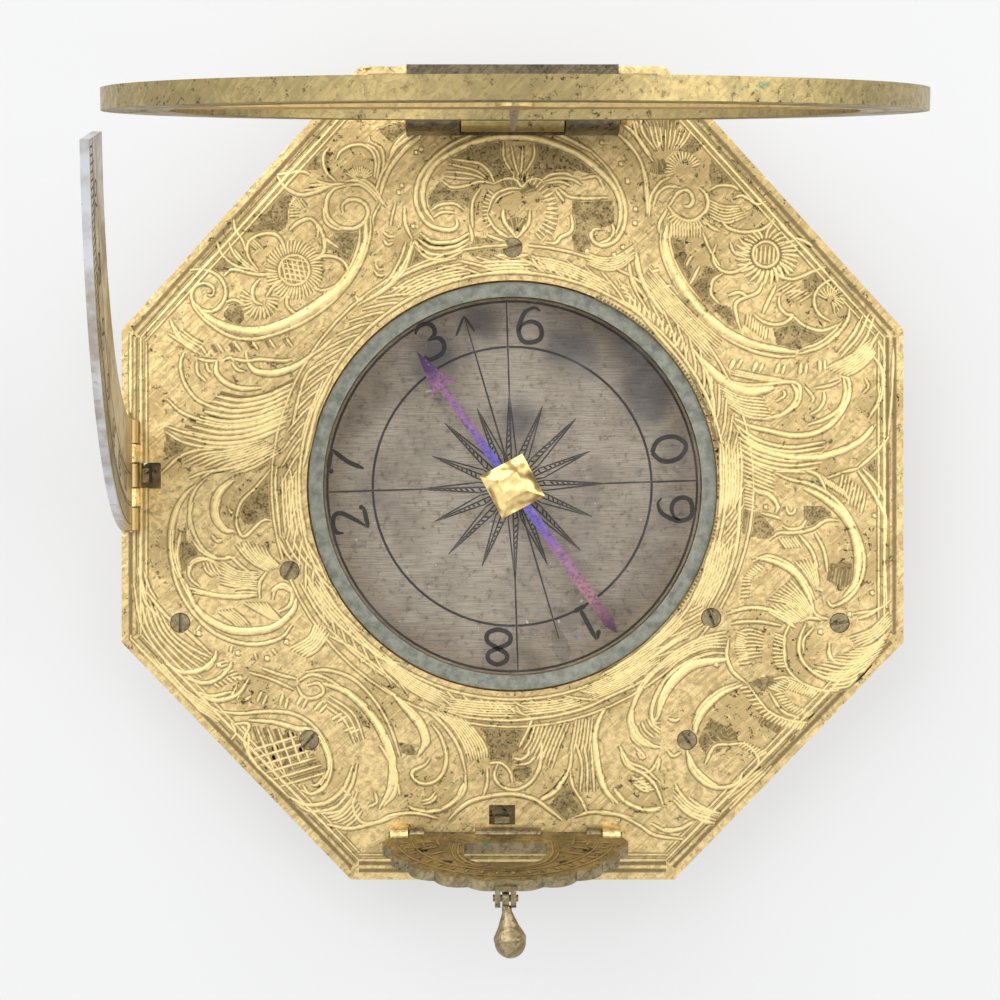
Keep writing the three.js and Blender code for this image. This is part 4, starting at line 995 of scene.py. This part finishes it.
fan("line", 13, [(360, 390), (560, 420), (760, 425)], [(390, 330), (580, 350), (760, 355)], 6)
fan("line", 13, [(800, 420), (1000, 395), (1160, 350)], [(790, 355), (960, 345), (1080, 320)], 5)
fan("line", 13, [(1180, 340), (1380, 250), (1568, 120)], [(1130, 280), (1340, 190), (1568, 30)], 8)
fan("line", 11, [(1400, 500), (1420, 560), (1470, 600)], [(1500, 440), (1520, 480), (1568, 520)], 4)
fan("line", 10, [(1090, 560), (1130, 700), (1120, 850)], [(1180, 560), (1190, 700), (1200, 850)], 3)
comb("line", 14, [(600, 340), (800, 380)], 5, 60, 40)
comb("line", 12, [(1410, 780), (1480, 860)], 5, 70, -55)

# Sheet 8, the south-east corner: the lower shell, its hatched edge and the last scrolls.
on_sheet(600, 600, 5.058)
trace("""
ground 0 560,600 640,640 700,700 640,740 560,790 520,760 500,700
ground 0 740,420 860,380 920,400 830,460 790,440
ground 0 110,470 160,470 140,520 100,510
band 56 640,300 560,310 470,330 380,400 320,490 290,590
line 18 640,270 560,270 450,310 350,380 290,470 260,560 270,620 310,620
line 22 160,560 190,480 260,380 330,330
line 20 160,540 150,620 190,700 260,740
line 15 170,500 220,410 310,330 420,270 540,230
band 40 720,430 620,470 540,540 490,620 480,680
line 16 700,420 600,460 510,540 470,630
line 22 440,760 460,850 520,920 600,950 690,930 720,870
band 26 450,780 480,850 540,910 600,945
line 14 660,730 740,730 800,800 790,850
line 14 530,830 580,740 660,730
line 16 650,200 640,280 670,360 740,420
line 16 660,120 720,110 820,110 920,130
line 18 640,70 740,40 840,45 930,90 980,130
line 14 860,60 940,110 990,140
line 16 940,190 930,270 950,350 1020,420 1130,460 1230,450
line 20 1040,120 1010,200 1010,280 1060,350 1150,400 1250,400 1340,360
line 18 1160,220 1160,280 1200,320 1290,320 1380,290
line 15 1080,140 1030,200 1030,260
line 14 960,120 930,200 940,300
line 14 1010,110 1060,90 1120,100
line 16 750,430 850,560 960,610 1050,620
line 13 860,470 920,560 1010,600
line 14 880,400 940,390 960,420
line 15 100,740 130,830 200,870 260,860 300,790
line 20 110,760 150,840 220,880 280,940 320,1040
line 22 70,950 130,1020 220,1060 310,1050
line 20 10,880 30,960 90,1030
line 16 300,800 290,860
line 15 380,930 420,1000 500,1060 600,1090
line 15 390,1010 470,1080 560,1110
line 15 410,1040 500,1110 580,1130
line 15 450,1000 520,1050 610,1080
line 14 260,1130 340,1170 420,1150 480,1120
line 20 300,1160 400,1160 470,1120
line 15 0,1080 100,1090 200,1140 280,1190 420,1210
line 14 340,760 370,790 410,770
line 14 345,600 380,610 400,600
line 13 160,890 200,920 240,930
line 13 170,930 220,950 270,950
line 12 190,770 210,800 230,790
line 14 1280,70 1400,50 1470,0
line 14 1060,20 1100,80 1170,100
""")
fan("line", 15, [(1120, 370), (1240, 370), (1350, 310)], [(1170, 450), (1270, 430), (1390, 340)], 5)
fan("line", 12, [(1060, 350), (1220, 380), (1400, 300)], [(1290, 250), (1380, 230), (1470, 150)], 9)
fan("line", 12, [(1260, 190), (1370, 150), (1460, 60)], [(1310, 240), (1400, 190), (1480, 110)], 5)
fan("line", 12, [(840, 50), (920, 100), (980, 120)], [(920, 0), (990, 60), (1040, 100)], 6)
fan("line", 13, [(410, 170), (300, 260), (160, 360), (0, 450)],
    [(520, 120), (360, 230), (200, 330), (0, 400)], 6)
fan("line", 13, [(440, 100), (300, 220), (140, 320), (0, 400)],
    [(400, 40), (290, 160), (140, 260), (0, 330)], 6)
fan("line", 13, [(640, 160), (520, 190), (400, 250), (270, 350)],
    [(640, 240), (540, 240), (440, 280), (350, 340)], 5)
fan("line", 15, [(380, 950), (470, 1040), (600, 1080)], [(370, 1010), (460, 1090), (580, 1130)], 4)
fan("line", 9, [(700, 160), (760, 150), (830, 170)], [(700, 300), (760, 290), (820, 280)], 8)
fan("line", 9, [(640, 980), (720, 930), (820, 850)], [(660, 1060), (760, 960), (880, 850)], 4)
comb("line", 11, [(690, 160), (680, 240), (710, 340)], 12, 60, -80)
comb("line", 11, [(940, 190), (930, 270), (950, 350)], 10, 60, 100)
comb("line", 11, [(850, 440), (960, 380)], 8, 70, 50)
comb("line", 12, [(750, 440), (850, 560), (960, 610), (1050, 620)], 19, 45, 120)
comb("line", 10, [(880, 480), (960, 560), (1060, 600)], 12, 45, -60)
comb("line", 11, [(980, 410), (1120, 460)], 11, 55, 115)
comb("dark", 9, [(560, 720), (640, 640), (700, 680)], 8, 40, 100)
comb("line", 10, [(700, 740), (820, 800)], 8, 45, -60)
comb("dark", 8, [(830, 590), (1000, 690)], 12, 40, 100)
pellets(12, (1262, 72), (1115, 160), (588, 325))

# The border: inside each edge a bright line with a finer one within it and two dark cuts outside it.
# Round the compass lie two bright circles with slanting ribs between them.
BORDER_INSET = 1.5 * MM
BORDER_LINES = (("line", 0.16, 0.0), ("line", 0.08, 0.42 * MM), ("dark", 0.10, -0.24 * MM),
                ("dark", 0.06, -0.95 * MM))
border = corners * (1 - BORDER_INSET / edge_reach.mean())
for a, b in zip(border, np.roll(border, -1, axis=0)):
    out = np.array([(b - a)[1], -(b - a)[0]]) / np.hypot(*(b - a))
    for kind, width_mm, inset in BORDER_LINES:
        cuts.append(stroke(kind, width_mm, [a - out * inset, b - out * inset]))
turn = np.linspace(0, 2 * math.pi, 61)
for radius_mm, width_mm in ((16.4, 0.12), (18.5, 0.09)):
    cuts.append(stroke("line", width_mm, radius_mm * MM * np.stack([np.cos(turn), np.sin(turn)], 1)))
RIBS = 80
RIB_TURNS, RIB_RADII = np.array([0.0, 0.7, 2.0]), np.array([16.5, 17.0, 17.8]) * MM
for k in range(RIBS):
    angle = 2 * math.pi * (k + RIB_TURNS) / RIBS
    cuts.append(stroke("line", 0.09, np.stack([RIB_RADII * np.cos(angle), RIB_RADII * np.sin(angle)], 1)))

# Each stroke becomes a ribbon: a low ridge that swells in the middle and runs out to a point, with a
# narrow cut on both sides that sets it off, or only a cut. Its tone, 0 in a cut and 1 on a ridge, is
# kept on its points for the finish; the gilt finishes darken a cut with dirt and painted shade and put a
# painted highlight on a ridge's crest. Across it there are seven points: how many half widths, and how
# many flanks beyond them, each lies from the middle, then its rise as a share of the width, and its tone.
ACROSS = ((-1, -1), (-1, -0.5), (-1, 0), (0, 0), (1, 0), (1, 0.5), (1, 1))
RISE = {"line": (0, 0, 0.09, 0.19, 0.09, 0, 0), "band": (0, 0, 0.08, 0.17, 0.08, 0, 0),
        "dark": (0, 0, 0, 0, 0, 0, 0)}
# A tone of 1 gives a painted highlight on a crest; a tone near 0 gives a cut, darkened with dirt and painted
# shade.
TONE = {"line": (0.45, 0.04, 0.55, 1, 0.55, 0.04, 0.45), "band": (0.45, 0.0, 0.62, 1, 0.62, 0.0, 0.45),
        "dark": (0.45, 0.1, 0, 0, 0, 0.1, 0.45)}
FLANK = 0.19 * MM
LIFT = 0.004 * MM
ROW_STEP, FEWEST_ROWS, MOST_ROWS = 0.22 * MM, 6, 72
CLOSED_GAP = 0.3 * MM
HEIGHT_TURNS = 11
GROUND_TONE, GROUND_PITCH = 0.30, 0.12 * MM


def on_the_plate(flat, rise):
    return np.concatenate([flat, (TOP + rise)[..., None]], -1)


# Where screws and slots come through the plate the ribbons stop. A slot is its west and east ends, then
# its south and north ends, in millimetres.
SCREW_MARGIN = 0.12 * MM
BRACKET_SLOT = ((-1.85, 0.25), (-26.0, -24.45))
ARC_SLOT = ((-28.5, -26.95), (-0.25, 1.85))
screw_boxes = [np.array(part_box(name)) for name in frame["nodes"] if "screw" in name]


def comes_through(middles):
    """Which of these places a screw or a slot takes."""
    taken = np.zeros(len(middles), bool)
    for low, high in screw_boxes:
        away = np.hypot(*(middles[:, :2] - (0.5 * (low + high))[:2]).T)
        taken |= away < 0.5 * (high - low)[:2].max() + SCREW_MARGIN
    for (west, east), (south, north) in (BRACKET_SLOT, ARC_SLOT):
        taken |= ((middles[:, 0] > west * MM) & (middles[:, 0] < east * MM)
                  & (middles[:, 1] > south * MM) & (middles[:, 1] < north * MM))
    return taken


def ribbon(kind, width, points, keep, surface, flank, turn):
    """The grid of places and tones of one stroke, seven across. Strokes take turns at slightly different
    heights, so that two that cross don't lie in one plane."""
    length = np.hypot(*np.diff(points, axis=0).T).sum()
    steps = int(np.clip(length / ROW_STEP, FEWEST_ROWS, MOST_ROWS))
    line = keep(smooth(points, steps))
    along = np.gradient(line, axis=0)
    side = np.stack([-along[:, 1], along[:, 0]], 1) / np.maximum(np.hypot(*along.T), 1e-9)[:, None]
    share = np.linspace(0, 1, steps)
    if np.hypot(*(points[0] - points[-1])) < CLOSED_GAP:
        swell = np.ones(steps)
    elif kind == "band":
        swell = np.sin(math.pi * (0.02 + 0.96 * share)) ** 0.6
    else:
        swell = np.minimum(1, 0.25 + 4 * np.minimum(share, 1 - share))
    half = 0.5 * width * swell
    offset = np.stack([a * half + b * flank for a, b in ACROSS], 1)
    rise = np.array(RISE[kind])[None, :] * (2 * half)[:, None] + LIFT * (1 + 0.2 * turn)
    grid = surface(line[:, None, :] + offset[..., None] * side[:, None, :], rise)
    return grid, np.broadcast_to(np.array(TONE[kind], float), grid.shape[:2])


def ground(outline, surface, height):
    """A flat grid of squares inside an outline: a square stays where a line eastwards from its middle
    crosses the outline an odd number of times."""
    low, high = outline.min(0), outline.max(0)
    x, y = np.meshgrid(np.arange(low[0], high[0] + GROUND_PITCH, GROUND_PITCH),
                       np.arange(low[1], high[1] + GROUND_PITCH, GROUND_PITCH))
    flat = np.stack([x, y], -1)
    middles = flat[:-1, :-1] + 0.5 * GROUND_PITCH
    ax, ay = outline.T[:, None, None]
    bx, by = np.roll(outline, -1, axis=0).T[:, None, None]
    px, py = middles[..., 0, None], middles[..., 1, None]
    spans = (ay > py) != (by > py)
    rise = np.where(by == ay, 1.0, by - ay)
    crossed = spans & (px < ax + (py - ay) / rise * (bx - ax))
    inside = crossed.sum(-1) % 2 == 1
    index = np.arange(x.size).reshape(x.shape)
    quads = np.stack([index[:-1, :-1], index[:-1, 1:], index[1:, 1:], index[1:, :-1]], -1)[inside]
    used, quads = np.unique(quads, return_inverse=True)
    grid = surface(flat.reshape(-1, 2)[used], np.full(len(used), height))
    return grid, quads.reshape(-1, 4)


def engraved_piece(name, strokes, fields, finish, body="plate", surface=on_the_plate,
                   keep=inside_plate, flank=FLANK):
    """One mesh of all the ribbons and of the flat grounds between them, with the tone on its points."""
    places, tones, faces, count = [], [], [], 0
    for order, drawn in enumerate(strokes):
        grid, tone = ribbon(*drawn, keep, surface, flank, order % HEIGHT_TURNS)
        steps, across = tone.shape
        index = count + np.arange(steps * across).reshape(steps, across)
        quads = np.stack([index[:-1, :-1], index[1:, :-1], index[1:, 1:], index[:-1, 1:]], -1)
        quads = quads.reshape(-1, 4)[:, ::-1]
        if body == "plate":
            quads = quads[~comes_through(grid.reshape(-1, 3)[quads - count].mean(1))]
        faces += quads.tolist()
        places.append(grid.reshape(-1, 3))
        tones.append(tone.reshape(-1))
        count += steps * across
    for order, field in enumerate(fields):
        grid, quads = ground(keep(field), surface, LIFT * (0.3 + 0.1 * (order % 6)))
        if body == "plate":
            quads = quads[~comes_through(grid[quads].mean(1))]
        faces += (quads + count).tolist()
        places.append(grid)
        tones.append(np.full(len(grid), GROUND_TONE))
        count += len(grid)
    mesh = bpy.data.meshes.new(name)
    mesh.from_pydata(np.vstack(places).tolist(), [], faces)
    tone = mesh.attributes.new("tone", "FLOAT", "POINT")
    tone.data.foreach_set("value", np.concatenate(tones).astype(np.float32))
    mesh.shade_smooth()
    piece = bpy.data.objects.new(name, mesh)
    bpy.context.scene.collection.objects.link(piece)
    piece.data.materials.append(finish.material)
    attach(piece, body)
    return piece


# The plate's engraving is two pieces, one for the northern half of its strokes and punched grounds and
# one for the southern half. Both have the plate's own gilding, darkened with dirt and painted shade in the
# cuts and lightened with a painted highlight on the crests.
engraved_gilt = gilt("engraved_gilt", grain=0.04, patches=WORN_PATCHES, engraved=True)
southward = sorted(cuts, key=lambda drawn: -drawn[2][:, 1].mean())
half = len(southward) // 2
GROUNDS_NORTH = len(grounds) // 2
engraved_piece("engraving_north", southward[:half], grounds[:GROUNDS_NORTH], engraved_gilt)
engraved_piece("engraving_south", southward[half:], grounds[GROUNDS_NORTH:], engraved_gilt)

# The beaded edge: fine cuts side by side round the ring that holds the glass. They are still sharp
# from the south-east round to the north-east and are worn away elsewhere.
BEAD_START, BEAD_END, BEAD_PITCH = -48, 66, 1.15
bead_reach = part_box("glass_retaining_ring")[1][0]
beads = []
for degrees in np.arange(BEAD_START, BEAD_END, BEAD_PITCH):
    inner, outer = bead_reach + 0.02 * MM, bead_reach + 0.30 * MM
    beads.append(stroke("dark", 0.15, [around(inner, degrees), around(outer, degrees)]))
engraved_piece("beaded_edge", beads, [], engraved_gilt, keep=plain, flank=0.05 * MM)

# Plain figures, drawn with the same strokes. Each is a few curves in a box 0.7 wide and 1 high.
FIGURES = {
    "0": ".35,0 .08,.2 0,.5 .08,.8 .35,1 .62,.8 .7,.5 .62,.2 .35,0",
    "1": ".14,.8 .35,1 / .35,1 .35,0 / .15,0 .55,0",
    "2": ".05,.75 .12,.95 .35,1 .6,.9 .62,.7 .4,.4 .05,.03 / .05,.03 .65,.03 / .65,.03 .67,.16",
    "3": ".05,.85 .2,1 .45,1 .6,.85 .55,.62 .3,.54 / .3,.54 .6,.48 .68,.27 .55,.05 .3,0 .1,.03 .02,.18",
    "4": ".5,1 .03,.32 / .03,.32 .68,.32 / .5,1 .5,0",
    "5": ".6,1 .15,1 / .15,1 .1,.56 / .1,.56 .35,.64 .62,.52 .68,.3 .55,.06 .3,0 .08,.05 .02,.18",
    "6": ".58,.92 .4,1 .15,.85 .02,.5 .02,.25 .15,.03 .38,0 .62,.1 .68,.3 .58,.52 .35,.6 .12,.5 .03,.3",
    "7": ".03,.84 .05,1 / .05,1 .66,1 / .66,1 .4,.5 .28,0",
    "8": ".35,.54 .1,.68 .1,.88 .35,1 .6,.88 .6,.68 .35,.54 .04,.36 .04,.12 .35,0 .66,.12 .66,.36 .35,.54",
    "9": ".12,.08 .3,0 .55,.15 .68,.5 .68,.75 .55,.97 .32,1 .08,.9 .02,.7 .12,.48 .35,.4 .58,.5 .67,.7"}


def figures(text, centre, height, turn, width_mm):
    """The strokes of a number, centred on a place, with its top turned by an angle from +Y."""
    strokes = []
    pitch = 0.86 * height
    across, up = np.array([math.cos(turn), math.sin(turn)]), np.array([-math.sin(turn), math.cos(turn)])
    for k, figure in enumerate(text):
        for curve in FIGURES[figure].split("/"):
            box = np.array([tuple(map(float, place.split(","))) for place in curve.split()])
            x = (box[:, 0] - 0.35) * height + (k - 0.5 * (len(text) - 1)) * pitch
            y = (box[:, 1] - 0.5) * height
            places = np.array(centre) + x[:, None] * across + y[:, None] * up
            strokes.append(stroke("dark", width_mm, places))
    return strokes


# The compass dial's engraving: two circles, the north-south and east-west lines, a line for where the
# needle points with a forked head and a spearhead, and a star of sixteen rays, half of each hatched.
# The photograph's letters are left out: plain figures, bearings in tens of degrees, stand in their place.
dial_spread = (EYE_HEIGHT + TOP - dial_top) / EYE_HEIGHT


def on_dial(x_px, y_px):
    """A pixel of the photograph as a place on the dial, which lies further from the camera."""
    middle = PICTURE_PX / 2
    return np.array(on_plate(middle + (x_px - middle) * dial_spread, middle + (y_px - middle) * dial_spread))


DIAL_TURN = 1.8
CIRCLE_RADII = (14.55 * MM, 10.97 * MM)
AXIS_START, AXIS_END = 6.6 * MM, 14.55 * MM
RAYS, LONG_RAY, SHORT_RAY, RAY_WAIST, RAY_ROOT, HALF_WAIST_TURN = 16, 7.3, 6.7, 2.6 * MM, 0.9 * MM, 9
dial_cuts = []
for radius in CIRCLE_RADII:
    dial_cuts.append(stroke("dark", 0.12, [around(radius, 6 * k) for k in range(61)]))
for k in range(4):
    degrees = 90 * k + DIAL_TURN
    dial_cuts.append(stroke("dark", 0.06, [around(AXIS_START, degrees), around(AXIS_END, degrees)]))
for k in range(RAYS):
    middle = 360 / RAYS * k + DIAL_TURN
    point = around((LONG_RAY if k % 2 == 0 else SHORT_RAY) * MM, middle)
    west = around(RAY_WAIST, middle + HALF_WAIST_TURN)
    east = around(RAY_WAIST, middle - HALF_WAIST_TURN)
    root = around(RAY_ROOT, middle)
    for a, b in ((root, west), (west, point), (root, east), (east, point), (root, point)):
        dial_cuts.append(stroke("dark", 0.05, [a, b]))
    for share in np.linspace(0.08, 0.85, 9):
        spine = root + (point - root) * (0.32 + 0.68 * share)
        dial_cuts.append(stroke("dark", 0.07, [west + (point - west) * share, spine]))
    for share in (0.3, 0.6, 0.9):
        spine = root + (point - root) * 0.30 * share
        dial_cuts.append(stroke("dark", 0.06, [root + (west - root) * share, spine]))
NORTH_MARK_PX, SOUTH_MARK_PX = (464, 316), (559, 639)
mark, spear = on_dial(*NORTH_MARK_PX), on_dial(*SOUTH_MARK_PX)
dial_cuts.append(stroke("dark", 0.07, [mark, spear]))
FORK_PX = ((456, 336), (475, 332))
for place in FORK_PX:
    dial_cuts.append(stroke("dark", 0.13, [mark, on_dial(*place)]))
SPEARHEAD_PX = ((556, 622), (567, 640), (571, 655), (563, 667), (553, 652), (551, 636))
spearhead = np.array([on_dial(*place) for place in SPEARHEAD_PX])
# Each figure, the pixel of the photograph where it stands, and how far its top is turned, in degrees.
BEARINGS = (("3", 430, 341, 25), ("6", 531, 325, -5), ("0", 669, 449, -78), ("9", 675, 508, -98),
            ("1", 588, 624, -152), ("8", 498, 647, 176), ("2", 350, 521, 103), ("7", 347, 463, 80))
for figure, x_px, y_px, degrees in BEARINGS:
    dial_cuts += figures(figure, on_dial(x_px, y_px), 2.75 * MM, math.radians(degrees), 0.30)


def on_the_dial(flat, rise):
    return np.concatenate([flat, (dial_top + rise)[..., None]], -1)


engraved_piece("dial_engraving", dial_cuts, [spearhead], tarnished("engraved_silver", True),
               surface=on_the_dial, keep=plain, flank=0.05 * MM)


def face(middle, right, up, stand_off):
    """A flat face of a leaning piece, to engrave on: its middle, the directions of its right and its up,
    and how far the face stands off the middle along the normal that points at the viewer."""
    middle, right, up = (np.array(value, float) for value in (middle, right, up))
    normal = np.cross(right, up)

    def surface(flat, rise):
        return (middle + flat[..., :1] * right + flat[..., 1:] * up + (stand_off + rise)[..., None] * normal)
    return surface


def arc_stroke(kind, width_mm, radius, start, end):
    angles = np.linspace(start, end, max(4, int(abs(end - start) / 6) + 2))
    return stroke(kind, width_mm, [around(radius, degrees) for degrees in angles])


def tick(width_mm, inner, outer, degrees):
    return stroke("dark", width_mm, [around(inner, degrees), around(outer, degrees)])


# The hour ring's scale, a piece on each face: circles, twenty-four hours with their quarters, and plain
# figures whose tops point outwards. Noon is at the hinge, where the web takes the figures' place.
places_of = {joint["name"]: np.array(joint["pos_m"]) for joint in frame["joints"]}
ring_middle = places_of["gnomon_swivel"]
ring_up = (ring_middle - places_of["ring_fold"]) / np.linalg.norm(ring_middle - places_of["ring_fold"])
ring_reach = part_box("hour_ring")[1][0]
EAST = np.array([1.0, 0.0, 0.0])
ring_points = np.array([v.co[:] for v in frame["nodes"]["hour_ring"].data.vertices]) - ring_middle
ring_radii = np.linalg.norm(ring_points, axis=1)
rim = (ring_radii > 0.97 * ring_reach) & (ring_radii < 1.003 * ring_reach) & (ring_points @ ring_up > 0)
ring_half = np.abs(ring_points[rim] @ np.cross(EAST, ring_up)).max()
olive_engraved = gilt("olive_engraved", *OLIVE, engraved=True)


# How far in from the rim, in millimetres, the lines of an hour and of its quarters run, and how many
# degrees past its line the figure of an hour stands.
HOURS = 24
TICK_ENDS = ((3.5, 0.45), (2.65, 2.05), (2.65, 1.75), (2.65, 2.05))
FIGURE_LEAD = 3.6


def mirrored(strokes, side):
    """The strokes as they are for side 1, and mirrored left to right for side -1."""
    return [(kind, width, points * np.array([side, 1.0])) for kind, width, points in strokes]


def ring_scale(side):
    """The strokes of one face. Seen from the south, side 1, the hours run anticlockwise from noon at the
    hinge; seen from the north they run the other way, so that each hour has one place on the ring."""
    strokes = [arc_stroke("dark", 0.07, ring_reach - gap * MM, 0, 360) for gap in (0.45, 2.55, 2.75)]
    strokes.append(arc_stroke("line", 0.12, ring_reach - 3.85 * MM, 0, 360))
    for quarter in range(4 * HOURS):
        inner, outer = TICK_ENDS[quarter % 4]
        strokes.append(tick(0.07, ring_reach - inner * MM, ring_reach - outer * MM, 90 / HOURS * quarter))
    strokes = mirrored(strokes, side)
    for hour in range(1, HOURS):
        degrees = 360 / HOURS * hour - 90 + FIGURE_LEAD
        place = around(ring_reach - 1.45 * MM, degrees) * np.array([side, 1.0])
        turn = side * math.radians(degrees - 90)
        strokes += figures(str((hour + 11) % 12 + 1), place, 1.25 * MM, turn, 0.12)
    return strokes


for name, side in (("ring_scale_south", 1.0), ("ring_scale_north", -1.0)):
    engraved_piece(name, ring_scale(side), [], olive_engraved, body="ring",
                   surface=face(ring_middle, side * EAST, ring_up, ring_half), keep=plain, flank=0.05 * MM)

# The latitude arc's scale, a piece on each face: a tick for each degree, longer at each fifth, and plain
# figures at each tenth, counted up from the plate. The arc's middle lies north of its hinge.
ARC_MIDDLE_Y, ARC_OUTER, ARC_HALF = 28.4 * MM, 31.8 * MM, 0.3 * MM
ARC_TOP = 78
ARC_LEAN = math.radians(3.5)
ARC_CIRCLES = (0.5, 1.9, 2.1, 4.3)
arc_up = np.array([math.sin(ARC_LEAN), 0.0, math.cos(ARC_LEAN)])
arc_hinge = places_of["arc_fold"]
arc_middle = (arc_hinge + np.array([0.0, ARC_MIDDLE_Y, 0.0])
              + arc_up * (places_of["ring_fold"][2] - arc_hinge[2]))
NORTH = np.array([0.0, 1.0, 0.0])


def arc_scale(side):
    """The strokes of one face: side 1 is seen from the east, -1 from the west."""
    strokes = [arc_stroke("dark", 0.07, ARC_OUTER - gap * MM, 180, 180 - ARC_TOP) for gap in ARC_CIRCLES]
    for degree in range(4, ARC_TOP):
        length = 1.4 if degree % 5 else 2.1
        strokes.append(tick(0.06, ARC_OUTER - 0.5 * MM, ARC_OUTER - (0.5 + length) * MM, 180 - degree))
    strokes = mirrored(strokes, side)
    for degree in range(10, ARC_TOP, 10):
        place = around(ARC_OUTER - 3.3 * MM, 180 - degree) * np.array([side, 1.0])
        strokes += figures(str(degree), place, 1.4 * MM, side * math.radians(90 - degree), 0.12)
    return strokes


silver_engraved = tarnished("bright_silver_engraved", True)
for name, side in (("arc_scale_east", 1.0), ("arc_scale_west", -1.0)):
    engraved_piece(name, arc_scale(side), [], silver_engraved, body="arc",
                   surface=face(arc_middle, side * NORTH, arc_up, ARC_HALF), keep=plain, flank=0.04 * MM)

# The plummet bracket's pattern, a piece on each face: a frame round its window, rays beside the frame
# and a row of short bars between two arches, all in the bracket's own brass.
LEAN = math.radians(13)
FAN_HALF, FAN_HIGH, SHOULDER, BRACKET_HALF = 8.9 * MM, 8.4 * MM, 1.3 * MM, 0.4 * MM
bracket_up = np.array([0.0, -math.sin(LEAN), math.cos(LEAN)])


def on_fan(share, degrees):
    """A place on the bracket's face, as a share of the way from its middle to its lobes."""
    angle = math.radians(degrees)
    return share * FAN_HALF * math.cos(angle), SHOULDER + share * FAN_HIGH * math.sin(angle)


BARS = 20
RAY_DEGREES = (10, 22, 34, 146, 158, 170)
WINDOW_FRAME = np.array([(-3.5, 2.2), (-3.5, 4.7), (-2.5, 6.7), (0, 7.5), (2.5, 6.7), (3.5, 4.7), (3.5, 2.2)])
bracket_cuts = []
for share in (0.93, 0.80):
    bracket_cuts.append(stroke("line", 0.18, [on_fan(share, degrees) for degrees in range(6, 175, 8)]))
for k in range(BARS):
    degrees = 9 + 162 * k / (BARS - 1)
    bracket_cuts.append(stroke("line", 0.26, [on_fan(0.83, degrees), on_fan(0.90, degrees)]))
for degrees in RAY_DEGREES:
    bracket_cuts.append(stroke("band", 0.34, [on_fan(0.60, degrees), on_fan(0.76, degrees)]))
bracket_cuts.append(stroke("line", 0.22, WINDOW_FRAME * MM))
bracket_cuts.append(stroke("line", 0.12, WINDOW_FRAME * MM * np.array([1.12, 1.03])))
for x in (-6.4, -5.2, 5.2, 6.4):
    bracket_cuts.append(stroke("band", 0.22, np.array([(x, 1.6), (0.98 * x, 2.4), (0.95 * x, 3.0)]) * MM))
dark_engraved = gilt("dark_engraved", *DARK, engraved=True)
for name, side in (("bracket_pattern_south", 1.0), ("bracket_pattern_north", -1.0)):
    engraved_piece(name, bracket_cuts, [], dark_engraved, body="bracket",
                   surface=face(places_of["bracket_fold"], side * EAST, bracket_up, BRACKET_HALF), keep=plain,
                   flank=0.08 * MM)

# The floor just under the object: pale, with a glow of its own, so that it looks nearly white and still
# takes a soft shadow.
FLOOR_REACH, FLOOR_Z = 0.6, -0.0001
floor_mesh = bpy.data.meshes.new("floor")
floor_corners = [(-FLOOR_REACH, -FLOOR_REACH, FLOOR_Z), (FLOOR_REACH, -FLOOR_REACH, FLOOR_Z),
                 (FLOOR_REACH, FLOOR_REACH, FLOOR_Z), (-FLOOR_REACH, FLOOR_REACH, FLOOR_Z)]
floor_mesh.from_pydata(floor_corners, [], [(0, 1, 2, 3)])
floor = bpy.data.objects.new("floor", floor_mesh)
bpy.context.scene.collection.objects.link(floor)
floor_paint = Finish("floor_paint", Roughness=0.9)
floor_paint.set("Base Color", (0.22, 0.22, 0.22))
floor_paint.set("Emission Color", (0.54, 0.54, 0.54))
floor_paint.set("Emission Strength", 1.0)
floor.data.materials.append(floor_paint.material)

# The studio round it: a soft even light, brighter from the south-west than from the north-east, and two
# large soft lamps.
world = bpy.data.worlds.new("studio")
bpy.context.scene.world = world
world.use_nodes = True
tree = world.node_tree
toward = Wire(tree, tree.nodes.new("ShaderNodeTexCoord").outputs["Generated"])
SOUTH_WEST = (-0.7, -0.7, 0.0)
EVEN_GLOW, LEANING_GLOW = 0.74, 0.62
facing = toward.node("ShaderNodeVectorMath", {"operation": "DOT_PRODUCT"},
                     {0: toward, 1: SOUTH_WEST}, "Value")
glow = EVEN_GLOW + facing * LEANING_GLOW
background = tree.nodes["Background"]
background.inputs["Color"].default_value = (0.96, 0.98, 1.0, 1)
tree.links.new(glow.socket, background.inputs["Strength"])


def lamp(name, place, target, size, power):
    """A square soft lamp at place, aimed at target; metres and watts."""
    data = bpy.data.lights.new(name, "AREA")
    data.size, data.energy = size, power
    made = bpy.data.objects.new(name, data)
    made.location = place
    made.rotation_euler = (Vector(target) - Vector(place)).to_track_quat("-Z", "Y").to_euler()
    bpy.context.scene.collection.objects.link(made)


lamp("key", (-0.25, 0.35, 0.40), (0, 0, 0), 0.60, 3.6)
lamp("fill", (0.35, 0.1, 0.3), (0, 0, 0), 0.55, 2.0)
